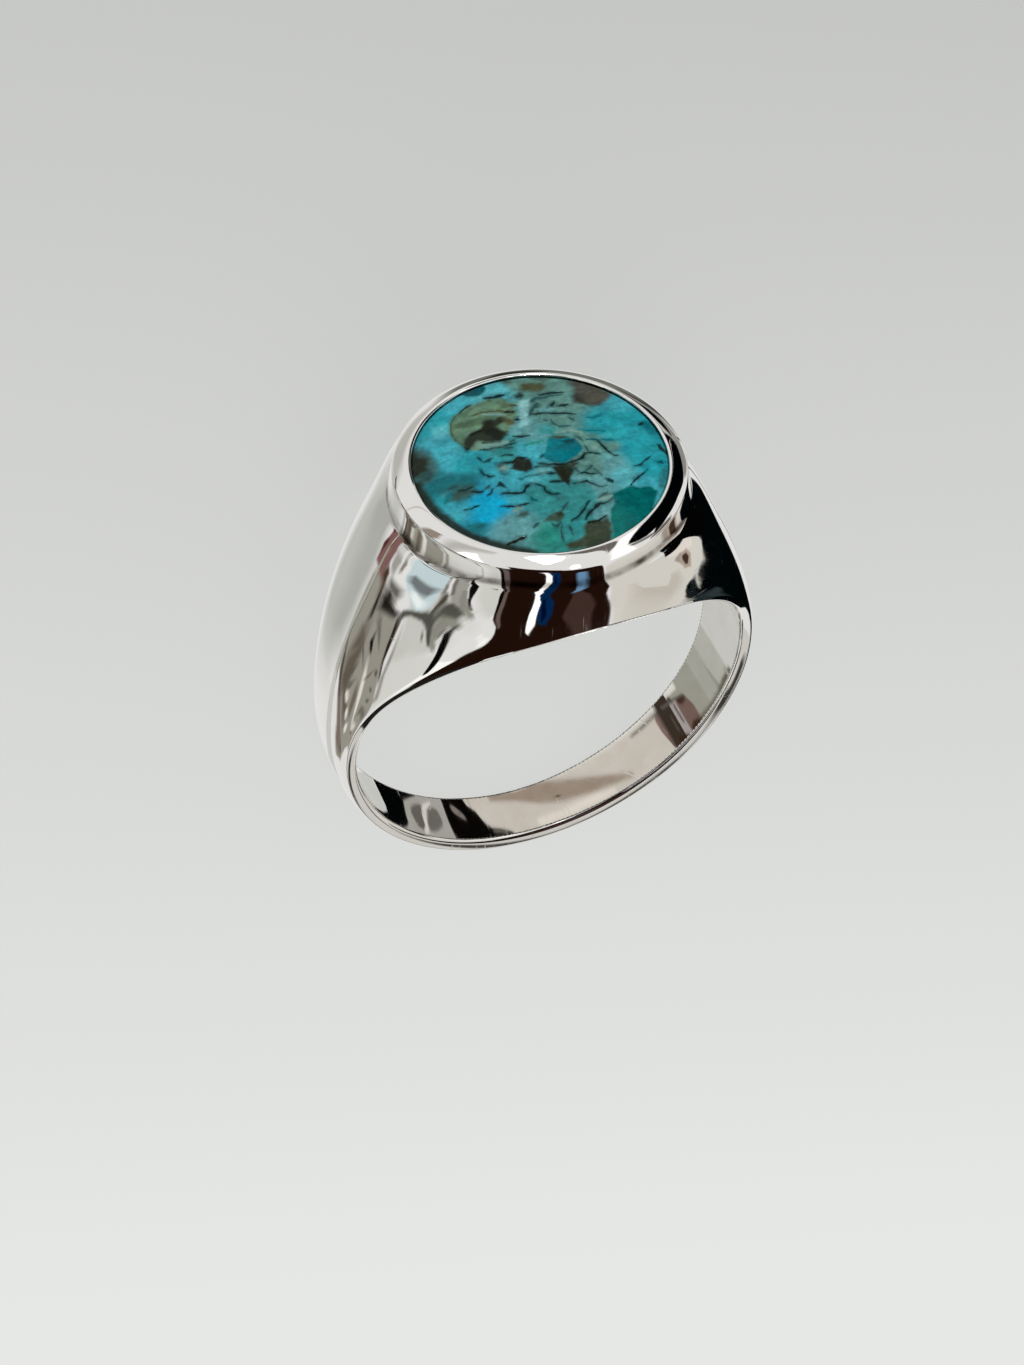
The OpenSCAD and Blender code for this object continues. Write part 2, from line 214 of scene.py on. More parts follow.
STRIPS = (
    Strip("white_rail", (255, 255, 252), 2.2, 0.7,
          ((75, 67.5, 70), (77, 68.8, 71.3), (80, 69.2, 73.3), (85, 70.2, 74.6), (90, 70.7, 75.7), (95, 71.3, 74.6),
           (100, 70.4, 73.8), (110, 69.6, 72.7), (120, 68.3, 71.7), (130, 66, 70), (140, 62.7, 67), (150, 57, 63.8),
           (155, 52.9, 60.8), (160, 47, 56.7), (165, 40.8, 50.8), (170, 33.3, 43.3), (174, 26.5, 36),
           (177, 23.5, 30)), 1.3),
    Strip("blue_cloth", (3, 38, 76), 2.5, 1.2,
          ((91, 75.5, 77), (100, 73.8, 77.5), (110, 72.7, 78.5), (120, 71.7, 78.3), (130, 70, 77.5), (140, 67, 75),
           (150, 63.8, 72), (160, 56.7, 66.5), (165, 51, 63.5), (170, 43, 60), (175, 36, 54), (179, 30, 45),
           (183, 28, 35))),
    Strip("blue_fold", (0, 10, 46), 2.4, 1.5,
          ((150, 66, 68), (160, 59, 62), (168, 50, 54), (174, 42, 47), (180, 30, 36))),
    Strip("brown_gleam", (104, 90, 84), 2.5, 1.2,
          ((64, 44.5, 46.5), (80, 44.3, 47.3), (90, 43.8, 47.2), (100, 42.5, 46.2), (110, 39.5, 44.5),
           (120, 36.5, 40.8), (130, 33.5, 37), (140, 32, 34), (146, 30.5, 31.5))),
    Strip("black_beam", (6, 4, 3), 2.4, 0.5,
          ((68, 41.2, 43.5), (80, 40.7, 43.7), (90, 40.5, 43.4), (97, 40.5, 42.8), (105, 39, 41.3), (112, 37, 39.3),
           (120, 34.5, 36.8))),
    Strip("brown_stripe", (64, 46, 41), 2.5, 2,
          ((187, 30, 60), (190, 26, 68), (193, 24, 66), (196, 25, 64), (199, 30, 60))),
    Strip("black_rail", (11, 9, 8), 2.7, 0.8,
          ((72, 15.5, 20.5), (80, 14.8, 20.3), (85, 15, 19.6), (90, 15.6, 18.6), (95, 16.2, 17.8),
           (102, 17.4, 18.2))),
    Strip("rail_tail", (112, 108, 100), 2.75, 1, ((92, 15, 17), (98, 16, 18), (103, 17.5, 19.5), (107, 19.5, 21))),
    Strip("rail_shade", (140, 138, 130), 2.85, 1.5, ((84, 11, 14), (95, 11.5, 15), (101, 13, 17), (106, 16, 19))),
    Strip("grey_shelf", (158, 157, 150), 2.9, 1.5, ((72, 5, 14), (84, 5.5, 14), (92, 7, 15), (99, 10, 16.5))),
    Strip("shelf_dark", (112, 110, 102), 2.85, 1, ((73, 5, 7), (80, 5, 7), (86, 5.6, 7.4), (92, 6.6, 8.2))),
    Strip("black_arc", (6, 5, 4), 0.0205, 0.5,
          ((75.6, 43.6, 44.2), (77, 44.1, 45.8), (79, 44.9, 46.9), (82, 45.3, 48.1), (85, 45.8, 48.7), (88, 45.9, 49),
           (92, 45.7, 49.1), (96, 45.3, 48.9), (100, 45, 48.4), (105, 44.3, 47.6), (111, 43.4, 46), (117, 42.8, 44))),
    Strip("white_corner", (248, 247, 244), 2.8, 1,
          ((134, 24, 26), (140, 21.8, 26), (147, 15, 26), (153, 9, 24), (158, 7, 15), (161, 6, 9)), 1.1),
    Strip("grey_gap", (190, 188, 180), 2.3, 0.5, ((-58, -32, -31.2), (-40, -30.6, -29.4), (-24, -28.6, -27.8))),
    Strip("grey_bar", (104, 100, 94), 2.6, 3,
          ((-28, 26, 34), (-24, 5, 24), (-19, -14, 14), (-15, -18, 10), (-12, -18, -2))),
    Strip("lip_dark", (50, 50, 44), 2.6, 2,
          ((-62, -70, -66), (-48, -67, -58), (-34, -60, -46), (-26, -54, -40), (-20, -46, -38))),
    Strip("lip_brown", (72, 70, 64), 2.6, 2,
          ((-96, -54, -50), (-80, -51, -46), (-62, -49, -44.5), (-44, -45, -42))),
)
STROKES = (
    Stroke("desk_top", (150, 149, 142), 2.7, 2,
           ((94, -10.5, 2), (102, -10.3, 2), (108, -9.5, 2.2), (115, -6, 2.5), (122, -2.5, 2.5), (130, 0.5, 2))),
    Stroke("desk_side", (108, 108, 98), 2.65, 2.2,
           ((117, -21, 1.6), (121, -16, 2.4), (124, -11.5, 2.6), (130, -6, 2.6), (138, -1.5, 2))),
    Stroke("arm", (44, 37, 27), 2.6, 0.8,
           ((93.8, -12.6, 1), (96, -15.8, 2.8), (99, -15.7, 2.4), (103, -14.8, 1.4), (107, -12.5, 1.3),
            (112.5, -9.8, 1.2))),
    Stroke("tick_low", (78, 72, 60), 2.6, 0.7, ((104.4, -18, 1), (106, -16.6, 1.6), (108, -14.6, 0.8))),
    Stroke("tick_middle", (90, 88, 78), 2.6, 0.7, ((109.8, -17.8, 1), (112, -15.2, 1.4), (114.2, -12.6, 1))),
    Stroke("tick_high", (88, 88, 78), 2.6, 0.7, ((115, -17.2, 1), (117.4, -13, 1.8), (119.8, -10.4, 1))),
    Stroke("leg", (118, 110, 102), 2.6, 0.7, ((104.6, -17.4, 0.8), (107, -21.5, 1.2), (109.4, -27, 1.1))),
    Stroke("bird", (8, 8, 8), 2.5, 0.5,
           ((97.6, -26.8, 0.8), (100, -27.7, 2.2), (101.4, -26.2, 1.4), (102.6, -24.8, 0.5))),
    Stroke("blue_spot", (104, 142, 178), 2.4, 1.4,
           ((-175, 67.5, 1), (-169, 66.6, 3.2), (-162, 64.4, 3.4), (-155, 61.5, 1.4))),
    Stroke("stalk", (110, 108, 102), 2.55, 0.6,
           ((101.4, -19.8, 0.7), (98.5, -24, 1), (97.2, -27, 1.1), (96.6, -31, 0.9))),
    Stroke("desk_end", (30, 26, 22), 2.55, 0.6,
           ((94.1, -13, 0.7), (94.9, -19, 0.9), (95.2, -25, 1.1), (95.6, -29, 1.2), (96.4, -34, 1))),
    Stroke("blot", (14, 12, 10), 2.5, 0.5, ((95.6, -32.6, 1), (97, -33.8, 2), (98.6, -35.8, 0.8))),
    Stroke("loop", (102, 98, 90), 2.55, 0.7,
           ((108, -27, 0.9), (103.5, -30.8, 1.1), (101, -34, 1.1), (99.8, -38, 0.8))),
    Stroke("light_band", (224, 221, 214), 2.6, 1.2,
           ((102, -25.8, 1.6), (108, -25.3, 3), (114, -25.3, 3.4), (120, -25.6, 2.8), (126, -26.6, 1.4))),
    Stroke("pale_side", (212, 209, 203), 2.65, 1.6,
           ((121, -27.5, 2.5), (126, -23, 3.4), (128, -17, 2.6), (131, -12, 1.6))),
    Stroke("desk_dark", (100, 92, 80), 2.62, 2.4,
           ((96.5, -31, 3), (103, -34.5, 5.4), (110, -38, 5.4), (117, -40, 5), (124, -39, 5), (133, -41, 2.5))),
    Stroke("pane_head", (124, 122, 114), 2.52, 0.9, ((76, 3.2, 1), (84, 3, 1.6), (89, 3.4, 1.6), (93, 4.6, 1.2))),
    Stroke("desk_rim", (84, 75, 64), 2.54, 0.8,
           ((104, -42.6, 0.7), (112, -43.2, 1.3), (119, -44.2, 1.8), (124, -44.6, 1.4), (130, -46, 1))),
    Stroke("desk_side_low", (112, 108, 98), 2.6, 1.4, ((121, -13, 1.5), (120.5, -18, 3), (121.5, -23, 2))),
    Stroke("brown_pool", (110, 102, 91), 2.6, 1.6,
           ((110, -28.2, 1.8), (115, -30, 3.2), (121, -32.6, 3.2), (125, -34, 1.6))),
    Stroke("rib_dark", (94, 88, 78), 2.55, 0.8,
           ((106, -31, 0.9), (111, -36, 1.4), (117, -41.3, 1.8), (125, -44.2, 1.6))),
    Stroke("rib_left", (124, 118, 108), 2.55, 0.8, ((103, -33, 0.9), (109, -39.8, 1.3), (116, -43.6, 1.2))),
    Stroke("rib_right", (106, 100, 90), 2.5, 0.7, ((110, -30.4, 0.8), (115, -36, 1.2), (120.6, -41.4, 1.2))),
    Stroke("pale_low", (230, 227, 220), 2.5, 0.8, ((116.8, -35, 1.4), (119.5, -38, 2.6), (121.6, -40, 1.2))),
    Stroke("pale_middle", (234, 232, 226), 2.5, 0.7, ((121.6, -34.4, 1), (123.8, -36.6, 1.9), (126, -38.8, 1.2))),
    Stroke("pale_right", (238, 236, 230), 2.5, 0.7, ((125, -31.4, 1.2), (127.8, -35.2, 2.2), (130.6, -39, 1.2))),
    Stroke("desk_lip", (122, 110, 102), 2.55, 1.2,
           ((115, -42.2, 1.4), (124, -44, 2), (134, -43.6, 3.4), (142, -45.4, 3.2), (149, -47.6, 1.8))),
    Stroke("desk_lip_dark", (88, 77, 69), 2.5, 0.9, ((133, -40.6, 1), (140, -42, 2), (147, -45.2, 1.2))),
    Stroke("side_brown", (112, 98, 88), 2.5, 0.6, ((126.4, -26, 0.8), (129, -20.5, 1.2), (131.4, -15.5, 0.8))),
    Stroke("pane_bar", (114, 121, 121), 2.6, 1.6,
           ((88.4, 3.4, 1.6), (87.8, -2, 3.2), (86.2, -8, 4), (84.8, -13, 3.8), (85.4, -18.6, 1.8))),
    Stroke("pane_glow", (240, 247, 247), 2.55, 1,
           ((92.2, 2.4, 0.8), (90.9, -4, 2), (89.4, -9, 2.2), (88.2, -14, 1.6))),
    Stroke("pane_edge", (80, 79, 72), 2.5, 0.8,
           ((109, 18.4, 0.8), (105, 15.4, 1.4), (101, 12.6, 1.8), (97.6, 9.8, 2), (95.4, 6.4, 2), (93.9, 2.6, 1.7),
            (93.2, -2.4, 1.4), (93, -7, 1.1), (93.5, -11, 1.4), (94.3, -14, 1.6), (95.6, -17, 1.2))),
    Stroke("rim_line", (58, 56, 51), 2.5, 0.7,
           ((194.4, 20.4, 0.8), (196, 19.5, 1.7), (197.3, 18.7, 1.7), (198.6, 17.7, 1.5), (199.7, 15.5, 1.8),
            (200.6, 11, 2.1), (201, 7.5, 1.5))),
    Stroke("rim_inner", (26, 24, 22), 2.5, 0.8,
           ((203, 13.5, 1), (205.4, 9.5, 1.8), (207.4, 4.5, 2), (209.6, -0.5, 2), (211, -4.5, 1.4))),
    Stroke("rim_left", (38, 36, 33), 2.5, 0.8,
           ((190.2, -1, 2.2), (190.4, 8, 2), (190, 15.5, 1.8), (190.8, 18.4, 0.8))),
    Stroke("rim_gleam", (250, 250, 246), 2.45, 0.5, ((194.6, 26, 0.8), (195.3, 24.2, 1.4), (196, 22.8, 1)), 1.1),
    Stroke("sill", (232, 231, 226), 2.6, 1.4,
           ((73, -17.4, 3), (82, -18.7, 3), (86.4, -20.8, 2.6), (89, -25, 2.2))),
    Stroke("sill_shade", (140, 135, 126), 2.55, 1,
           ((73, -20.8, 1.8), (81, -21.7, 2.4), (85, -23.2, 2), (87.8, -25.6, 0.8))),
    Stroke("sill_grey", (160, 158, 152), 2.75, 2,
           ((73, -26.4, 6), (82, -27.4, 5.4), (88, -29.4, 4.4), (92, -31, 2.6))),
    Stroke("corner_dark", (104, 100, 92), 2.6, 2,
           ((90.6, -15, 1.4), (92, -22, 3), (92.6, -28, 3), (92.4, -32, 2))),
    Stroke("corner_black", (22, 18, 15), 2.52, 0.7, ((94.2, -20, 0.7), (94.4, -27, 1.4), (95, -32.6, 0.9))),
    Stroke("corner_brown", (74, 60, 43), 2.58, 1.4,
           ((86.6, -33.2, 1), (91, -33, 3.2), (94.4, -34.4, 3.6), (95.6, -37, 1.6))),
    Stroke("cloth_fold", (82, 47, 43), 2.6, 0.9,
           ((75.6, -39.4, 1.2), (82, -41.8, 2.6), (87, -43.8, 2.8), (93.6, -45.4, 1.4))),
    Stroke("cloth_light", (148, 114, 109), 2.7, 1.6, ((76, -34.4, 1.6), (84, -37.3, 2.8), (92, -40.6, 1.8))),
    Stroke("shelf_edge", (70, 63, 52), 2.6, 0.7, ((87.6, 4.5, 0.8), (91, 5, 1.8), (94, 6.2, 1.7), (96.2, 8, 0.8))),
    Stroke("shelf_tick", (120, 116, 106), 2.6, 0.9, ((96.4, 5.4, 0.7), (99.5, 7.6, 1.5), (103, 9.6, 1))),
    Stroke("fold_line", (142, 142, 130), 2.7, 1,
           ((96, 9.5, 0.7), (100, 13, 1.2), (105, 17.3, 1.7), (110, 20.2, 2), (117, 22.4, 1.6))),
)

# What the finger hole's wall reflects, a thin ring of cards about the finger's axis: the turn is round
# that axis and the edges are angles from the plane square to it
HOLE_STRIPS = (
    Strip("cream", (205, 199, 191), 2.58, 0.05,
          ((-56, -37.9, -36.6), (-30, -37.7, -36.5), (0, -37.6, -36.4), (30, -37.6, -36.35), (60, -37.7, -36.45),
           (74, -37.9, -36.5))),
    Strip("green", (157, 157, 147), 2.58, 0.05,
          ((84, -38, -36.6), (100, -38.2, -36.7), (120, -38.5, -36.9), (138, -38.8, -37.1), (150, -39, -37.2))),
    Strip("pale_first", (168, 169, 161), 2.57, 0.05,
          ((106, -38.4, -36.8), (140, -39, -37.1), (185, -39.2, -37.5))),
    Strip("pale_next", (180, 181, 174), 2.56, 0.05, ((118, -38.6, -36.9), (140, -39, -37.1), (185, -39.2, -37.5))),
    Strip("pale_last", (202, 203, 199), 2.55, 0.05, ((133, -38.9, -37), (150, -39, -37.2), (185, -39.2, -37.5))),
    Strip("grey", (167, 165, 161), 2.58, 0.05,
          ((-112, -38.8, -37.4), (-100, -38.6, -37.2), (-90, -38.4, -37.1), (-80, -38.25, -37), (-70, -38.15, -36.9),
           (-62, -38.1, -36.8))),
    Strip("pale_left", (202, 203, 200), 2.56, 0.05,
          ((-162, -38.9, -38.1), (-140, -38.8, -37.9), (-121, -38.8, -37.8))),
    Strip("black_bend", (3, 4, 4), 2.5, 0.04,
          ((-158, -38.3, -38.2), (-150, -38.25, -37.9), (-140, -38.1, -37.75), (-130, -38, -37.6),
           (-124, -38, -37.55), (-122, -38.1, -37.55), (-120.5, -38.8, -37.55), (-115, -38.75, -37.62),
           (-108, -38.6, -37.64), (-105, -38.5, -37.7), (-103.5, -38.45, -37.85), (-101, -38.4, -38),
           (-99, -38.4, -38.1), (-92, -38.3, -38.11), (-86, -38.2, -38.1))),
    Strip("stripe_left", (102, 99, 95), 2.5, 0.07,
          ((-98.5, -37.85, -37.65), (-95, -37.95, -37.5), (-91, -37.97, -37.5), (-88, -37.95, -37.6),
           (-85.5, -37.92, -37.8))),
    Strip("stripe_right", (108, 105, 101), 2.5, 0.07,
          ((-89.5, -37.5, -37.44), (-86, -37.65, -37.38), (-82, -37.82, -37.38), (-78, -37.8, -37.42),
           (-75, -37.7, -37.52))),
    Strip("gleam", (214, 212, 207), 2.48, 0.04,
          ((-95, -37.44, -37.38), (-91, -37.55, -37.4), (-89, -37.75, -37.5), (-87, -37.85, -37.65),
           (-84, -37.92, -37.8), (-77, -37.92, -37.87))),
    Strip("black_panel", (9, 7, 5), 2.5, 0.04,
          ((-73, -37.15, -36.95), (-71.5, -37.5, -36.9), (-70, -37.75, -36.9), (-68, -38.1, -36.9), (-60, -38, -36.8),
           (-56, -37.85, -36.78), (-54.5, -37.6, -36.76), (-51, -37.45, -36.72), (-49, -37.2, -36.7),
           (-46, -37.05, -36.68), (-41, -36.97, -36.66), (-38, -36.9, -36.66), (-34, -36.8, -36.66))),
    Strip("panel_gleam", (128, 121, 117), 2.45, 0.04,
          ((-66, -37.72, -37.62), (-63.5, -37.7, -37.5), (-61.5, -37.6, -37.42), (-58.5, -37.42, -37.33))),
    Strip("panel_haze", (96, 92, 84), 2.45, 0.04,
          ((-47, -37.02, -36.96), (-42, -36.97, -36.9), (-37.5, -36.88, -36.83))),
    Strip("brown", (155, 141, 128), 2.5, 0.09,
          ((-40, -37.65, -37.5), (-25, -37.6, -37.3), (-12, -37.45, -37.05), (0, -37.32, -36.9), (10, -37.18, -36.84),
           (20, -37.05, -36.78), (30, -36.92, -36.73), (38, -36.8, -36.7), (43, -36.73, -36.69))),
    Strip("upper_glow", (228, 221, 212), 2.52, 0.08,
          ((-20, -36.85, -36.7), (0, -36.78, -36.62), (14, -36.76, -36.6), (30, -36.68, -36.58))),
    Strip("lower_glow", (226, 225, 220), 2.5, 0.05,
          ((-2, -37.6, -37.38), (10, -37.6, -37.33), (30, -37.6, -37.33), (50, -37.7, -37.37), (70, -37.8, -37.47),
           (92, -38, -37.6))),
    Strip("seam", (92, 90, 84), 2.45, 0.03,
          ((50, -37.32, -37.28), (60, -37.37, -37.31), (68, -37.43, -37.36), (76, -37.47, -37.41),
           (86, -37.48, -37.42), (93, -37.45, -37.41))),
    Strip("red_left", (128, 106, 100), 2.52, 0.05,
          ((68, -37.3, -37.2), (71, -37.42, -36.75), (74, -37.44, -36.6), (79, -37.45, -36.6), (81, -37.4, -36.7))),
    Strip("lilac", (166, 159, 158), 2.5, 0.05,
          ((79, -37.4, -36.8), (81, -37.42, -36.75), (85, -37.43, -36.78), (87, -37.4, -36.85))),
    Strip("red_right", (117, 95, 89), 2.48, 0.05,
          ((85.2, -37.35, -36.85), (87.5, -37.45, -36.7), (91, -37.46, -36.7), (93.5, -37.42, -36.76),
           (96.5, -37.1, -36.85))),
    Strip("dark_top", (56, 37, 27), 2.45, 0.04,
          ((71.5, -36.8, -36.5), (77, -36.84, -36.5), (81, -36.82, -36.55), (85, -36.78, -36.6))),
    Strip("dark_top_right", (56, 39, 28), 2.44, 0.04,
          ((85.6, -36.84, -36.7), (90, -36.95, -36.65), (93, -36.95, -36.7), (97, -36.9, -36.75))),
    Strip("dark_foot", (60, 41, 33), 2.44, 0.03,
          ((86.6, -37.42, -37.36), (89, -37.44, -37.3), (91.5, -37.45, -37.32), (94, -37.44, -37.4))),
    Strip("crease_left", (84, 74, 70), 2.44, 0.03,
          ((77.4, -37.15, -37), (78.6, -37.25, -36.92), (79.8, -37.2, -36.95))),
    Strip("crease_right", (92, 84, 82), 2.44, 0.03,
          ((82.8, -37.3, -37.1), (84, -37.4, -37), (85.2, -37.35, -37.02))),
    Strip("moss_edge", (104, 101, 88), 2.46, 0.06,
          ((94, -36.95, -36.6), (105, -37.02, -36.7), (115, -37.12, -36.8), (125, -37.27, -36.95),
           (137, -37.38, -37.15))),
)


# The turquoise's tones out of 255, as the finished stone shows them
TONES = {
    "sky": (64, 161, 176), "pale sky": (84, 167, 177), "pearl": (132, 186, 188), "cyan": (42, 152, 164),
    "azure": (4, 160, 200), "lake": (32, 106, 114), "sea green": (54, 138, 139), "mist": (96, 153, 157),
    "grey green": (94, 139, 131), "sage": (99, 134, 110), "dull sage": (72, 96, 74), "pale sage": (116, 154, 146),
    "jade": (46, 134, 122), "teal": (0, 114, 126), "dark teal": (0, 86, 96), "pine": (0, 98, 97),
    "bright pine": (0, 114, 108), "smoke": (76, 77, 69), "bark_and_edge_shade": (38, 42, 33), "umber": (61, 71, 58),
    "moss": (76, 75, 50), "soot": (26, 30, 22), "ink": (4, 44, 46), "storm": (44, 82, 84),
}

# The stone's face, the photograph's way up, in mm to the right of its middle and up from it. First
# soft fields of one tone, with how far each reaches
Field = namedtuple("Field", "tone right up reach")
FIELDS = (
    Field("cyan", -3.1, 4.3, 0.45), Field("cyan", -4.0, 3.6, 0.35), Field("pale sky", -3.45, 3.2, 0.4),
    Field("sky", -3.6, 2.3, 0.6), Field("sky", -3.9, 1.4, 0.5), Field("cyan", -3.1, 0.9, 0.5),
    Field("lake", -4.5, 0.2, 0.5), Field("sky", -2.3, 4.9, 0.5), Field("pale sky", -0.1, 5.1, 0.45),
    Field("mist", 0.1, 1.8, 0.4), Field("sea green", -1.3, 1.0, 0.4), Field("sky", -0.4, 0.5, 0.4),
    Field("grey green", 1.0, 5.2, 0.4), Field("grey green", 2.6, 4.4, 0.45), Field("grey green", 1.6, 3.2, 0.5),
    Field("grey green", 1.7, 2.0, 0.55), Field("grey green", 2.6, 2.8, 0.4), Field("sea green", 1.0, 1.3, 0.4),
    Field("cyan", 3.6, 1.1, 0.6), Field("sky", 4.5, 2.3, 0.4), Field("cyan", 4.7, 1.1, 0.35),
    Field("cyan", 4.3, 0.0, 0.5), Field("teal", 5.4, 0.2, 0.3), Field("grey green", 2.4, 0.2, 0.35),
    Field("cyan", -4.6, -0.7, 0.35), Field("sky", -4.6, -1.6, 0.35), Field("lake", -3.6, -0.2, 0.35),
    Field("azure", -3.0, -2.0, 0.6), Field("azure", -3.5, -2.4, 0.35), Field("sky", -1.8, -1.0, 0.5),
    Field("sky", -2.1, -2.0, 0.3), Field("mist", -2.6, -3.4, 0.6), Field("sea green", -1.0, -2.4, 0.5),
    Field("lake", -4.0, -2.8, 0.3), Field("jade", -1.4, -4.4, 0.45), Field("sea green", -0.4, -4.3, 0.4),
    Field("sea green", 0.4, -2.9, 0.55), Field("mist", 1.8, -2.5, 0.35), Field("grey green", 1.9, -1.1, 0.45),
    Field("mist", 2.8, -1.5, 0.4), Field("grey green", 3.2, -0.4, 0.3), Field("pale sky", 3.1, -2.2, 0.35),
    Field("cyan", 4.1, -0.9, 0.5), Field("cyan", 4.5, -2.0, 0.35), Field("sky", 3.8, -2.8, 0.25),
    Field("mist", 1.2, -3.9, 0.3), Field("sky", -0.3, 0.1, 0.25),
)
